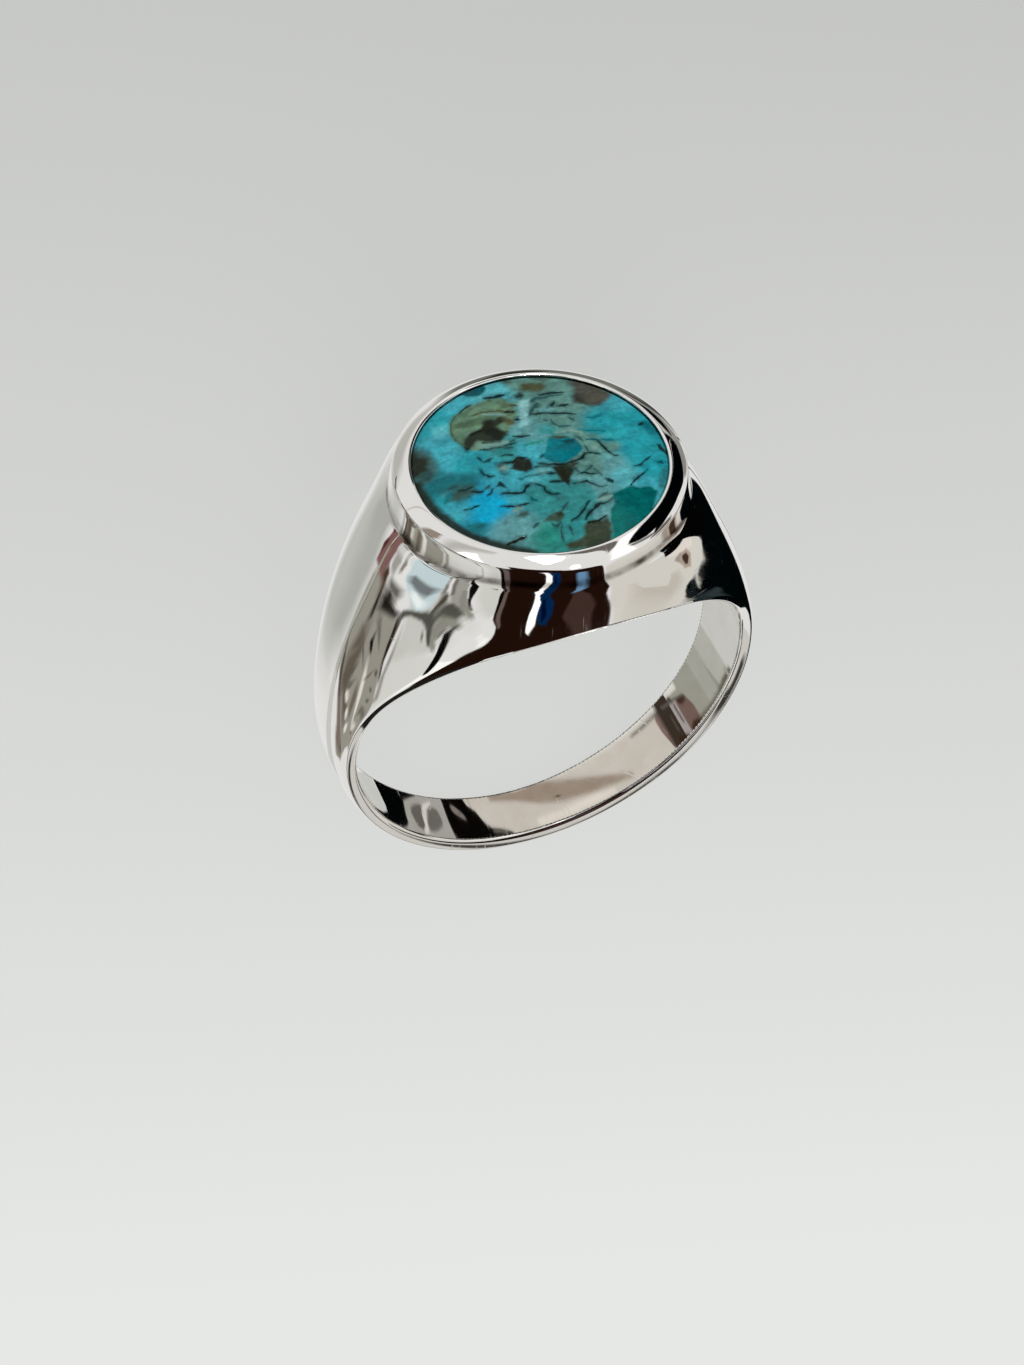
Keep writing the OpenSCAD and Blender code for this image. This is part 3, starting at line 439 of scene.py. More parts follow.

# Then inclusions with an outline, over the fields and over each other, with how soft each edge is;
# the last is no inclusion but a painted shade along the face's lower left edge
Patch = namedtuple("Patch", "tone soft cover outline")
PATCHES = (
    Patch("sage", 0.07, 1, ((-1.5, 4.45), (-2, 4.25), (-2.5, 3.9), (-2.85, 3.4), (-3, 2.9), (-2.98, 2.4), (-2.8, 1.8),
                            (-2.7, 1.55), (-2.3, 1.35), (-1.6, 1.5), (-0.9, 1.9), (-0.3, 2.4), (0.05, 2.9),
                            (0.1, 3.6), (0, 4.3), (-0.7, 4.5))),
    Patch("dull sage", 0.16, 0.85, ((-2.75, 3.6), (-2, 3.5), (-1.3, 3.45), (-0.7, 3.3), (-1.2, 3), (-2, 2.95),
                                    (-2.6, 3.2))),
    Patch("dull sage", 0.12, 0.7, ((-2.3, 4), (-1.7, 4.25), (-1.3, 4.3), (-1.6, 4.1), (-2.1, 3.8))),
    Patch("pale sage", 0.2, 0.7, ((-2.2, 1.95), (-1.7, 1.75), (-1, 1.5), (-0.9, 1.3), (-1.6, 1.35), (-2.2, 1.5))),
    Patch("bark_and_edge_shade", 0.13, 0.95, ((-2.6, 2.35), (-2.1, 2.55), (-1.7, 2.6), (-1.5, 3), (-1.3, 3.2), (-1, 3.05),
                               (-0.7, 3.15), (-0.45, 3), (-0.5, 2.7), (-0.9, 2.62), (-1.1, 2.5), (-1, 2.25),
                               (-0.72, 2.05), (-0.8, 1.8), (-1.1, 1.7), (-1.3, 1.5), (-1.6, 1.6), (-1.9, 1.75),
                               (-2.1, 1.95), (-2.5, 1.7), (-2.75, 1.6), (-2.85, 2), (-2.75, 2.3))),
    Patch("soot", 0.15, 0.85, ((-1.45, 3.1), (-1.1, 3.05), (-1.15, 2.6), (-0.8, 2.1), (-1, 1.8), (-1.3, 1.6),
                               (-1.5, 1.9), (-1.65, 2.35), (-2.2, 2.45), (-1.7, 2.6))),
    Patch("moss", 0.1, 0.9, ((-0.65, 3), (-0.35, 2.8), (-0.18, 2.6), (-0.2, 2.33), (-0.5, 2.38), (-0.6, 2.6))),
    Patch("moss", 0.22, 0.55, ((-0.3, 4), (0.1, 4.1), (0.25, 3.8), (0, 3.6), (-0.3, 3.7))),
    Patch("dark teal", 0.08, 1, ((-1.68, 5.5), (-1.5, 5.15), (-1.2, 4.98), (-0.9, 4.92), (-0.6, 5.05), (-0.4, 5.3),
                                 (-0.33, 5.8), (-1.65, 5.8))),
    Patch("umber", 0.2, 0.8, ((0.4, 5.3), (0.7, 5.25), (0.85, 5.7), (0.3, 5.8))),
    Patch("pearl", 0.12, 0.9, ((0.6, 3.85), (0.95, 3.8), (0.8, 3.3), (0.65, 2.8), (0.45, 2.3), (0.3, 2),
                                 (-0.1, 2.1), (0.1, 2.6), (0.25, 3), (0.35, 3.5))),
    Patch("moss", 0.22, 0.95, ((0.85, 4.5), (1.1, 5), (1.5, 4.95), (2, 4.8), (2.15, 4.5), (1.95, 4.2), (1.5, 4.1),
                               (1.2, 4.3))),
    Patch("umber", 0.15, 0.75, ((1.6, 5.3), (1.9, 5.5), (2.3, 5.1), (2.6, 4.9), (2.1, 4.85))),
    Patch("bark_and_edge_shade", 0.12, 0.9, ((0.5, 4.3), (0.85, 4.45), (0.95, 4.15), (0.75, 3.98), (0.52, 4.1))),
    Patch("smoke", 0.2, 1, ((3.2, 4.5), (3.9, 4.2), (4.5, 3.5), (4.75, 3), (4.4, 2.7), (4.1, 2.55), (3.8, 2.3),
                            (3.45, 2.35), (3.1, 2.7), (2.85, 2.9), (2.95, 3.4), (3.2, 3.9))),
    Patch("bark_and_edge_shade", 0.18, 0.7, ((2.8, 2.95), (3.1, 2.7), (3.35, 2.5), (3.3, 3), (3.15, 3.5), (2.95, 3.4))),
    Patch("teal", 0.06, 1, ((0.75, 0.95), (1.2, 0.85), (1.65, 0.7), (1.9, 0.4), (2, 0), (1.75, -0.35), (1.3, -0.6),
                            (0.8, -0.8), (0.4, -0.6), (0.15, -0.3), (0.1, -0.05), (0.35, 0.3), (0.55, 0.7))),
    Patch("ink", 0.1, 0.75, ((1.15, 0.55), (1.5, 0.6), (1.85, 0.5), (1.7, 0.28), (1.35, 0.25))),
    Patch("bark_and_edge_shade", 0.1, 1, ((-1.55, -0.3), (-1.25, -0.05), (-1.1, 0.15), (-0.8, 0.15), (-0.5, -0.05), (-0.45, -0.35),
                           (-0.6, -0.65), (-0.95, -0.7), (-1.3, -0.5))),
    Patch("bark_and_edge_shade", 0.09, 1, ((0.15, -0.9), (0.5, -0.8), (1, -0.9), (1.05, -1.2), (0.85, -1.5), (0.65, -1.9),
                            (0.45, -2.1), (0.3, -1.7), (0.25, -1.3))),
    Patch("soot", 0.1, 0.6, ((0.35, -1.1), (0.6, -1), (0.7, -1.4), (0.5, -1.8), (0.38, -1.5))),
    Patch("umber", 0.25, 0.8, ((-5.3, 3.1), (-4.6, 2.9), (-4.3, 2.2), (-4.2, 1.6), (-4.4, 1), (-4.9, 0.5),
                               (-5.6, 0.4))),
    Patch("bark_and_edge_shade", 0.2, 0.95, ((-5.2, 2.7), (-4.8, 2.6), (-4.75, 2.2), (-4.5, 2), (-4.5, 1.7), (-4.7, 1.5),
                              (-4.8, 1.1), (-5.1, 1.2), (-5.6, 1), (-5.6, 1.8))),
    Patch("storm", 0.15, 0.8, ((-5.2, 1.15), (-4.8, 1.2), (-4.6, 0.8), (-5, 0.6), (-5.3, 0.7))),
    Patch("storm", 0.25, 0.9, ((-4.4, -0.55), (-3.9, -0.45), (-3.5, -0.7), (-3.3, -1), (-3.7, -1.2), (-4.3, -1.2),
                               (-4.6, -0.9))),
    Patch("pine", 0.08, 1, ((2.1, -3.1), (2.6, -2.95), (3.1, -2.85), (3.4, -3.05), (3.85, -3.1), (4.05, -3.5),
                            (3.8, -3.95), (3.3, -4.6), (2.6, -5.2), (1.9, -5.6), (1.1, -5.7), (1.3, -4.9),
                            (1.45, -4.3), (1.7, -3.9), (1.95, -3.6))),
    Patch("bright pine", 0.2, 0.8, ((1.1, -5.7), (1.3, -4.9), (1.5, -4.3), (1.75, -3.9), (2.1, -3.9), (1.9, -5))),
    Patch("umber", 0.12, 1, ((0.1, -4.9), (0.15, -4.5), (0.5, -4.25), (1, -4.35), (1.3, -4.2), (1.35, -4.6),
                             (1.15, -5.1), (0.95, -5.8), (0.2, -5.8), (-0.3, -5.5), (-0.9, -5.4), (-0.9, -5.1),
                             (-0.3, -5))),
    Patch("umber", 0.1, 0.9, ((-1.4, -3.6), (-1, -3.35), (-0.6, -3.3), (-0.35, -3.35), (-0.4, -3.7), (-0.7, -3.9),
                              (-1, -3.75))),
    Patch("soot", 0.08, 0.7, ((-0.65, -3.35), (-0.4, -3.38), (-0.42, -3.6), (-0.6, -3.55))),
    Patch("umber", 0.12, 0.85, ((-2.35, -2.95), (-2.15, -2.75), (-1.75, -2.8), (-1.8, -3.05), (-2.1, -3.1))),
    Patch("ink", 0.06, 0.95, ((2.1, -2.15), (2.3, -2.28), (2.42, -2.45), (2.3, -2.6), (2.1, -2.45))),
    Patch("soot", 0.07, 0.95, ((5.18, -0.72), (5.33, -0.75), (5.4, -1.1), (5.5, -1.5), (5.3, -1.5), (5.2, -1.1))),
    Patch("ink", 0.05, 0.95, ((-2.5, -1), (-2.25, -0.8), (-2.1, -1), (-2.04, -1.32), (-2.25, -1.1))),
    Patch("dark teal", 0.08, 0.8, ((-2.1, -0.45), (-1.95, 0), (-1.8, -0.2), (-1.75, -0.55), (-1.95, -0.6))),
    Patch("ink", 0.07, 0.9, ((-2.52, 0.85), (-2.4, 0.6), (-2.1, 0.52), (-1.9, 0.65), (-2.1, 0.75), (-2.35, 0.7))),
    Patch("storm", 0.15, 0.6, ((-0.45, -2.4), (-0.1, -2.4), (0.1, -2.7), (-0.1, -2.9), (-0.4, -2.7))),
    Patch("storm", 0.18, 0.7, ((4.2, -3.4), (4.45, -2.8), (4.85, -2.2), (5.1, -2.1), (4.9, -2.8), (4.5, -3.4))),
    Patch("umber", 0.3, 0.55, ((-4.7, -0.3), (-4, -0.2), (-3.4, -0.5), (-3.3, -0.9), (-4, -1.1), (-4.7, -0.9))),
    # Painted shade: a dark band inside the face's lower left edge, where the bezel's lip shades the stone
    Patch("bark_and_edge_shade", 0.16, 0.95, ((-5.9, 1.2), (-5.9, 0), (-5.7, -1.5), (-5.2, -2.9), (-4.3, -4.2), (-3.2, -5.1),
                             (-2, -5.6), (-2.1, -5), (-2.6, -4.6), (-3.05, -4.28), (-3.74, -3.66),
                             (-4.34, -2.94), (-4.8, -2.12), (-5.1, -1.25), (-5.26, -0.35), (-5.28, 0.6))),
)

# Last the fine cracks, with how wide each is where it is widest
Crack = namedtuple("Crack", "tone width path")
CRACKS = (
    Crack("dull sage", 0.09, ((-1.45, 4.42), (-1.9, 4.3), (-2.4, 4), (-2.75, 3.6), (-2.98, 3.1), (-3.02, 2.7),
                              (-2.95, 2.3), (-2.8, 1.8), (-2.75, 1.6))),
    Crack("ink", 0.05, ((-1.5, 4.42), (-1.9, 4.29), (-2.2, 4.12))),
    Crack("ink", 0.11, ((-2.8, 1.8), (-2.75, 1.62), (-2.65, 1.65))),
    Crack("ink", 0.1, ((-2.25, 1.37), (-1.9, 1.25), (-1.3, 1.2), (-0.72, 1.17))),
    Crack("ink", 0.09, ((-0.6, 1.6), (-0.3, 1.46), (0.05, 1.4))),
    Crack("ink", 0.2, ((-0.75, 4.63), (-0.3, 4.53), (0.1, 4.48))),
    Crack("moss", 0.08, ((-1.65, 3.7), (-1.3, 3.7), (-0.9, 3.6), (-0.5, 3.52), (-0.3, 3.35), (0.05, 3.2))),
    Crack("soot", 0.12, ((-0.3, 3.33), (-0.1, 3.22), (0.08, 3.2))),
    Crack("soot", 0.09, ((-2.3, 2.5), (-2, 2.56), (-1.7, 2.56))),
    Crack("ink", 0.13, ((-0.15, 2.66), (0, 2.62), (0.12, 2.55))),
    Crack("ink", 0.12, ((0.65, 2.72), (0.9, 2.62), (1.3, 2.6), (1.7, 2.4), (2.2, 2.25), (2.5, 2.1))),
    Crack("ink", 0.11, ((1.52, 2.88), (1.75, 3), (1.95, 3.22))),
    Crack("ink", 0.11, ((2.02, 2.87), (2.3, 2.8), (2.5, 2.85))),
    Crack("storm", 0.16, ((1.05, 3.6), (1.3, 3.72), (1.6, 3.66))),
    Crack("ink", 0.12, ((1.6, 3.88), (2.05, 3.85), (2.6, 3.72))),
    Crack("storm", 0.07, ((1.45, 3.6), (2, 3.66), (2.5, 3.55))),
    Crack("storm", 0.12, ((0.6, 2.65), (0.75, 2.85), (1, 3.12), (1.25, 3.1))),
    Crack("storm", 0.1, ((1.35, 2.05), (1.32, 1.8), (1.5, 1.5), (1.95, 1.38))),
    Crack("storm", 0.12, ((2.2, 1.95), (2.3, 1.75))),
    Crack("storm", 0.08, ((1.05, 2.15), (1.2, 2.05))),
    Crack("teal", 0.1, ((2.12, 1.06), (2.5, 0.9), (2.9, 0.74), (3.3, 0.6))),
    Crack("teal", 0.12, ((2.9, 1.68), (3.2, 1.6), (3.6, 1.72))),
    Crack("umber", 0.1, ((0.9, 0.93), (1.2, 0.82), (1.55, 0.7))),
    Crack("ink", 0.07, ((-1.62, 0.66), (-1.35, 0.6), (-1.1, 0.5))),
    Crack("ink", 0.16, ((-1.95, 0), (-1.7, 0.14), (-1.3, 0.1))),
    Crack("ink", 0.08, ((-2.76, 0.2), (-2.66, -0.12), (-2.5, -0.34), (-2.28, -0.4))),
    Crack("ink", 0.13, ((-2.35, -1.5), (-2.1, -1.6), (-1.78, -1.76), (-1.55, -1.77), (-1.3, -1.56), (-1, -1.4),
                        (-0.85, -1.5), (-0.6, -1.8))),
    Crack("ink", 0.1, ((-0.6, -1.8), (-0.62, -2.1), (-0.42, -2.33), (-0.1, -2.4))),
    Crack("ink", 0.1, ((-0.2, -1.63), (0.05, -1.68), (0.36, -1.82))),
    Crack("ink", 0.1, ((0.68, -2.04), (1, -2.1), (1.34, -2.1), (1.45, -2.3), (1.64, -2.52))),
    Crack("storm", 0.06, ((1.64, -2.52), (1.8, -2.62), (2.05, -2.6))),
    Crack("ink", 0.1, ((-2.68, -2.18), (-2.4, -2.3), (-2.1, -2.38), (-1.58, -2.45))),
    Crack("ink", 0.07, ((-4.25, -1.65), (-3.9, -1.75), (-3.55, -1.76))),
    Crack("ink", 0.07, ((-3.05, -1.35), (-2.85, -1.27), (-2.65, -1.08))),
    Crack("teal", 0.09, ((-4.85, -0.95), (-4.6, -0.75), (-4.4, -0.55))),
    Crack("ink", 0.08, ((-4.05, -0.55), (-3.75, -0.62), (-3.45, -0.6))),
    Crack("ink", 0.1, ((-3.55, -0.8), (-3.3, -1), (-3.1, -1.02))),
    Crack("storm", 0.07, ((-1.1, -0.98), (-0.6, -1.03), (0, -1.08), (0.2, -1.25))),
    Crack("soot", 0.12, ((-0.25, -0.42), (0.1, -0.6), (0.5, -0.76), (0.9, -0.9))),
    Crack("ink", 0.13, ((0.9, -0.82), (1.3, -0.83), (1.65, -0.72), (1.88, -0.5))),
    Crack("ink", 0.08, ((1.88, -0.5), (2.2, -0.57), (2.5, -0.78))),
    Crack("storm", 0.07, ((2.1, 0), (2.12, -0.45))),
    Crack("ink", 0.1, ((2.76, 0.15), (2.85, -0.3), (2.95, -0.7), (3.1, -0.98), (3.22, -1.03))),
    Crack("storm", 0.12, ((1.55, -1.45), (1.85, -1.3))),
    Crack("ink", 0.1, ((1.1, -1.6), (1.4, -1.62), (1.6, -1.75), (1.95, -1.8))),
    Crack("storm", 0.08, ((1.05, -1.15), (1.2, -1.5))),
    Crack("ink", 0.09, ((-0.18, -4.02), (0.2, -3.85), (0.55, -3.6), (0.8, -3.32), (0.97, -3.2))),
    Crack("ink", 0.13, ((0.4, -4.12), (0.6, -3.95), (0.9, -3.76), (1.3, -3.5), (1.7, -3.5), (2, -3.35))),
    Crack("ink", 0.07, ((1.35, -3.2), (1.6, -3.08), (1.92, -2.97))),
    Crack("ink", 0.08, ((1.6, -3.12), (1.85, -3.1), (2.1, -3.15))),
    Crack("ink", 0.09, ((3.02, -2.87), (3.35, -2.66), (3.7, -2.45), (3.95, -2.3))),
    Crack("teal", 0.06, ((3.95, -2.3), (4.2, -2.15))),
    Crack("ink", 0.055, ((3.7, -1.85), (4, -1.8), (4.3, -1.6), (4.62, -1.44))),
    Crack("storm", 0.09, ((-0.95, -4.95), (-0.9, -4.6), (-0.8, -4.3), (-0.68, -4.1))),
    Crack("storm", 0.08, ((-0.42, -4.7), (-0.4, -4.25))),
    Crack("storm", 0.1, ((-0.7, -3.95), (-0.95, -4.1), (-1.05, -3.9))),
    Crack("dark teal", 0.12, ((-1.35, -2.15), (-1.32, -2.35), (-1.15, -2.45))),
    Crack("dark teal", 0.12, ((-2.75, 0.2), (-2.66, 0.1))),
    Crack("ink", 0.12, ((5, 0.62), (5.2, 0.72))),
    Crack("dark teal", 0.1, ((-1.4, -1), (-1.2, -1.05))),
    Crack("storm", 0.15, ((-0.5, -0.58), (-0.2, -0.66), (0.2, -0.7))),
    Crack("storm", 0.09, ((-2.98, -0.95), (-2.7, -0.8))),
    Crack("storm", 0.16, ((-4.35, -0.25), (-4, -0.2))),
    Crack("storm", 0.08, ((-1.55, -3.62), (-1.9, -3.8))),
    Crack("storm", 0.09, ((0.05, -3), (-0.2, -3.2), (-0.35, -3.32))),
    Crack("soot", 0.16, ((-3.2, -4.22), (-2.7, -4.13), (-2.4, -4.1))),
    Crack("storm", 0.07, ((1.9, -1.5), (2.05, -2))),
    Crack("umber", 0.16, ((0.95, -1), (1.3, -1.02))),
    Crack("ink", 0.1, ((-0.15, -1.15), (0.15, -1.22))),
    Crack("soot", 0.08, ((0.35, -4.3), (0.9, -4.36), (1.35, -4.2))),
    Crack("dark teal", 0.2, ((4.8, -1.85), (5, -1.95))),
    Crack("dark teal", 0.11, ((2.35, 0.32), (2.6, 0.26), (2.82, 0.1))),
    Crack("teal", 0.16, ((3, 0.1), (3.5, -0.1))),
    Crack("storm", 0.08, ((1.95, 0.75), (2.12, 0.3))),
    Crack("jade", 0.07, ((-0.4, 0.86), (0.45, 0.85))),
    Crack("storm", 0.16, ((1.1, 3.2), (1.25, 3.38))),
    Crack("moss", 0.12, ((0.02, 3.66), (0.3, 3.55))),
    Crack("ink", 0.08, ((-2.56, 1), (-2.5, 0.75))),
    Crack("storm", 0.11, ((-1.25, 1.03), (-0.9, 0.96))),
    Crack("storm", 0.09, ((-0.95, 1.28), (-0.68, 1.4))),
    Crack("soot", 0.08, ((-1.98, 1.76), (-1.55, 1.6), (-1.25, 1.48))),
    Crack("soot", 0.12, ((-1.3, 0.02), (-1, 0.24), (-0.6, 0.1))),
    Crack("pale sage", 0.16, ((-1.95, -0.1), (-1.58, -0.12))),
    Crack("mist", 0.16, ((-0.5, -0.86), (0, -0.96))),
    Crack("pale sage", 0.17, ((1.42, -3.26), (1.7, -3.3), (2, -3.2))),
    Crack("mist", 0.2, ((0.85, -1.76), (1.2, -1.86))),
    Crack("mist", 0.24, ((1.62, -2), (1.92, -2.15))),
    Crack("pale sage", 0.13, ((-2.3, -2.6), (-1.95, -2.6))),
    Crack("mist", 0.16, ((1.2, 2.86), (1.7, 2.74))),
    Crack("pale sage", 0.15, ((1.2, 1.14), (1.9, 1.05), (2.3, 0.78))),
    Crack("mist", 0.13, ((0.2, 1.06), (0.9, 1.1))),
    Crack("pale sky", 0.16, ((-1.1, -1.22), (-0.6, -1.34))),
    Crack("pale sage", 0.12, ((-2.1, 1.56), (-1.6, 1.4), (-1, 1.36))),
    Crack("pale sage", 0.1, ((-1.25, 3.52), (-0.8, 3.36), (-0.45, 3.2))),
    Crack("pale sage", 0.16, ((2.4, -0.2), (2.55, -0.4))),
    Crack("dark teal", 0.1, ((-0.05, -0.12), (0.12, 0))),
)


class RingSizes(bpy.types.PropertyGroup):
    """Sizes of the silver ring that a maker would change."""
    bore_r: FloatProperty(name="Finger hole radius", description="Radius of the finger hole",
                          default=FINGER_HOLE["dims"]["r_mm"] * MM, unit="LENGTH", precision=5)
    head_turn: FloatProperty(name="Head reach", description="Turn from the stone at which the head's mesh ends",
                             default=math.radians(75), subtype="ANGLE")
    uneven: FloatProperty(name="Uneven filing", description="How much thicker the shank is low on one side",
                          default=0.2 * MM, unit="LENGTH", precision=5)
    foot_r: FloatProperty(name="Bezel foot radius", description="Radius at which the bezel meets the head",
                          default=6.7 * MM, unit="LENGTH", precision=5)
    ridge_r: FloatProperty(name="Ridge radius", description="Radius of the bezel's crisp ridge",
                           default=6.46 * MM, unit="LENGTH", precision=5)
    ridge_top: FloatProperty(name="Ridge height", description="Distance from the finger's middle to the ridge",
                             default=13.06 * MM, unit="LENGTH", precision=5)
    lip_r: FloatProperty(name="Lip radius", description="Radius of the lip that holds the stone",
                         default=5.62 * MM, unit="LENGTH", precision=5)
    lip_top: FloatProperty(name="Lip height", description="Distance from the finger's middle to the lip",
                           default=13.45 * MM, unit="LENGTH", precision=5)
    seat_r: FloatProperty(name="Seat radius", description="Radius of the pocket that the stone sits in",
                          default=6.03 * MM, unit="LENGTH", precision=5)
    opening_r: FloatProperty(name="Open back radius", description="Radius of the opening behind the stone",
                             default=5.75 * MM, unit="LENGTH", precision=5)
    ledge_top: FloatProperty(name="Ledge height", description="Distance from the finger's middle to the ledge",
                             default=11.75 * MM, unit="LENGTH", precision=5)
    ledge: FloatProperty(name="Ledge thickness", description="Thickness of the ledge under the stone",
                         default=0.3 * MM, unit="LENGTH", precision=5)
    seat_top: FloatProperty(name="Seat height", description="Distance from the finger's middle to the pocket's top",
                            default=12.85 * MM, unit="LENGTH", precision=5)
    foot_round: FloatProperty(name="Foot round", description="Width of the round at the bezel's foot",
                              default=0.2 * MM, unit="LENGTH", precision=5)
    ridge_round: FloatProperty(name="Ridge round", description="Width of the round on the bezel's ridge",
                               default=0.05 * MM, unit="LENGTH", precision=5)
    hollow_round: FloatProperty(name="Hollow round", description="Width of the round on the hollow's edge",
                                default=0.12 * MM, unit="LENGTH", precision=5)
    hole_round: FloatProperty(name="Hole round", description="Width of the round on the finger hole's edges",
                              default=0.13 * MM, unit="LENGTH", precision=5)
    hollow_turn: FloatProperty(name="Hollow reach", description="Turn at which the hollow under the stone ends",
                               default=math.radians(69.5), subtype="ANGLE")
    hollow_half_w: FloatProperty(name="Hollow half width", description="Half the hollow's width at the finger hole",
                                 default=5.58 * MM, unit="LENGTH", precision=5)
    pit_turn: FloatProperty(name="Pit turn", description="Turn from the stone to the small pit in the finger hole",
                            default=math.radians(-171.2), subtype="ANGLE")
    pit_along: FloatProperty(name="Pit place", description="The pit's place along the finger",
                             default=-0.12 * MM, unit="LENGTH", precision=5)
    spokes_across: IntProperty(name="Spokes across", description="Spokes of the head that end across the shank",
                               default=52, min=12)
    spokes_along: IntProperty(name="Spokes along", description="Spokes of the head that end along each rim",
                              default=120, min=12)
    shank_steps: IntProperty(name="Shank steps", description="Sections round the rest of the shank",
                             default=160, min=12)


class StoneSizes(bpy.types.PropertyGroup):
    """Sizes of the turquoise."""
    girdle_r: FloatProperty(name="Girdle radius", description="Radius of the stone at its girdle",
                            default=6.0 * MM, unit="LENGTH", precision=5)
    face_r: FloatProperty(name="Face radius", description="Radius of the stone where the lip ends",
                          default=5.55 * MM, unit="LENGTH", precision=5)
    back: FloatProperty(name="Back", description="Distance from the finger's middle to the stone's back",
                        default=11.78 * MM, unit="LENGTH", precision=5)
    girdle_top: FloatProperty(name="Girdle top", description="Distance from the finger's middle to the bevel's start",
                              default=12.82 * MM, unit="LENGTH", precision=5)
    face_edge: FloatProperty(name="Face edge", description="Distance from the finger's middle to the face's edge",
                             default=13.33 * MM, unit="LENGTH", precision=5)
    dome_rise: FloatProperty(name="Dome rise", description="Rise of the low dome over its edge",
                             default=0.45 * MM, unit="LENGTH", precision=5)
    cells: IntProperty(name="Face cells", description="Cells across the face, which carries the paint",
                       default=300, min=20)


class StageSettings(bpy.types.PropertyGroup):
    """The camera, the floor and the light."""
    distance: FloatProperty(name="Camera distance", description="From the camera to the point it looks at",
                            default=160.93 * MM, unit="LENGTH", precision=5)
    azimuth: FloatProperty(name="Azimuth", description="Camera's turn round the ring", subtype="ANGLE",
                           default=math.radians(26.72))
    elevation: FloatProperty(name="Elevation", description="Camera's height over the floor", subtype="ANGLE",
                             default=math.radians(53.38))
    roll: FloatProperty(name="Roll", description="Camera's turn about its own axis", subtype="ANGLE",
                        default=math.radians(142.06))
    aim: FloatVectorProperty(name="Aim", description="Point in the middle of the picture", subtype="TRANSLATION",
                             default=(1.05 * MM, 2.36 * MM, 3.91 * MM), precision=5)
    picture_angle: FloatProperty(name="Picture angle", description="Angle of view over the picture's height",
                                 default=math.radians(22.23), subtype="ANGLE")
    floor_colour: FloatVectorProperty(name="Floor colour", description="Colour of the floor", subtype="COLOR",
                                      default=(0.09, 0.0915, 0.09), min=0, max=1)
    floor_glow: FloatVectorProperty(name="Floor glow", description="Colour that the floor adds by itself",
                                    subtype="COLOR", default=(0.985, 1, 0.98), min=0, max=1)
    glow_near: FloatProperty(name="Near glow", description="Strength of the floor's glow before the ring",
                             default=0.72, min=0)
    glow_far: FloatProperty(name="Far glow", description="Strength of the floor's glow beyond the ring",
                            default=0.434, min=0)
    world_glow: FloatProperty(name="Room light", description="Strength of the even light from all round",
                              default=0.78, min=0)
    softbox_power: FloatProperty(name="Softbox power", description="Power of the soft light beyond the ring",
                                 default=0.5, min=0, unit="POWER")
    softbox_place: FloatVectorProperty(name="Softbox place", description="Middle of the soft light",
                                       subtype="TRANSLATION", default=(0, 0.3, 0.35), precision=4)


def spline(rows, column):
    """A smooth curve through one column of a table, level at both ends, as a function of the turn."""
    turns = np.array([row.turn for row in rows], float)
    values = np.array([getattr(row, column) for row in rows], float)
    gaps = np.diff(turns)
    rises = np.diff(values) / gaps
    system = np.eye(len(rows))
    wanted = np.zeros(len(rows))
    for i in range(1, len(rows) - 1):
        before, after = 1 / gaps[i - 1], 1 / gaps[i]
        system[i, i - 1:i + 2] = before, 2 * (before + after), after
        wanted[i] = 3 * (rises[i - 1] * before + rises[i] * after)
    slopes = np.linalg.solve(system, wanted)

    def value(turn):
        degrees = abs(math.degrees(turn))
        i = min(max(int(np.searchsorted(turns, degrees)) - 1, 0), len(rows) - 2)
        u = (degrees - turns[i]) / gaps[i]
        return float(
            (2 * u ** 3 - 3 * u ** 2 + 1) * values[i] + (u ** 3 - 2 * u ** 2 + u) * gaps[i] * slopes[i]
            + (3 * u ** 2 - 2 * u ** 3) * values[i + 1] + (u ** 3 - u ** 2) * gaps[i] * slopes[i + 1])
    return value


half_width_mm = spline(SECTIONS, "half_width")
crest_mm = spline(SECTIONS, "crest")
rim_mm = spline(SECTIONS, "rim")
squareness_at = spline(SECTIONS, "squareness")


def half_width(turn):
    return half_width_mm(turn) * MM


def ring_place(turn, out, along):
    """A place at a turn round the finger from the stone, a distance out and a distance along it."""
    return Vector((out * math.sin(turn), -out * math.cos(turn), along))


def stone_place(angle, radius, top):
    """A place round the stone's axis, a distance out from it and a distance from the finger's middle."""
    return Vector((radius * math.cos(angle), -top, radius * math.sin(angle)))


def ease(low, high, value):
    """0 below low, 1 above high, and a smooth rise between."""
    u = min(max((value - low) / (high - low), 0), 1)
    return u * u * (3 - 2 * u)


def crest_height(sizes, turn):
    """The dome's height over the flat rim, a little uneven low on the shank, as filed by hand."""
    signed = math.remainder(turn, 2 * math.pi)
    low = ease(FILING_START, FILING_FULL, abs(signed))
    return (crest_mm(signed) - rim_mm(signed)) * MM - sizes.uneven * low * math.sin(signed)


def dome_place(sizes, turn, angle):
    """A place on the outside, at an angle over the dome from 0 at the upper rim to pi at the lower."""
    signed = math.remainder(turn, 2 * math.pi)
    square = squareness_at(signed)
    c, s = math.cos(angle), math.sin(angle)
    reach = (abs(c) ** square + abs(s) ** square) ** (-1 / square)
    out = sizes.bore_r + rim_mm(signed) * MM + crest_height(sizes, turn) * max(s, 0) * reach
    return ring_place(signed, out, half_width(signed) * c * reach)


def dome_under(sizes, x, along):
    """The turn and the dome angle of the place on the outside over a given side and length."""
    turn, angle = 0.0, math.pi / 2
    out = sizes.ridge_top
    for _ in range(30):
        turn = math.asin(max(-1, min(1, x / out)))
        square = squareness_at(turn)
        share = min(abs(along) / half_width(turn), 1)
        height = (1 - share ** square) ** (1 / square)
        angle = math.atan2(height, math.copysign(share, along))
        out += (sizes.bore_r + rim_mm(turn) * MM + crest_height(sizes, turn) * height - out) * 0.6
    return turn, angle


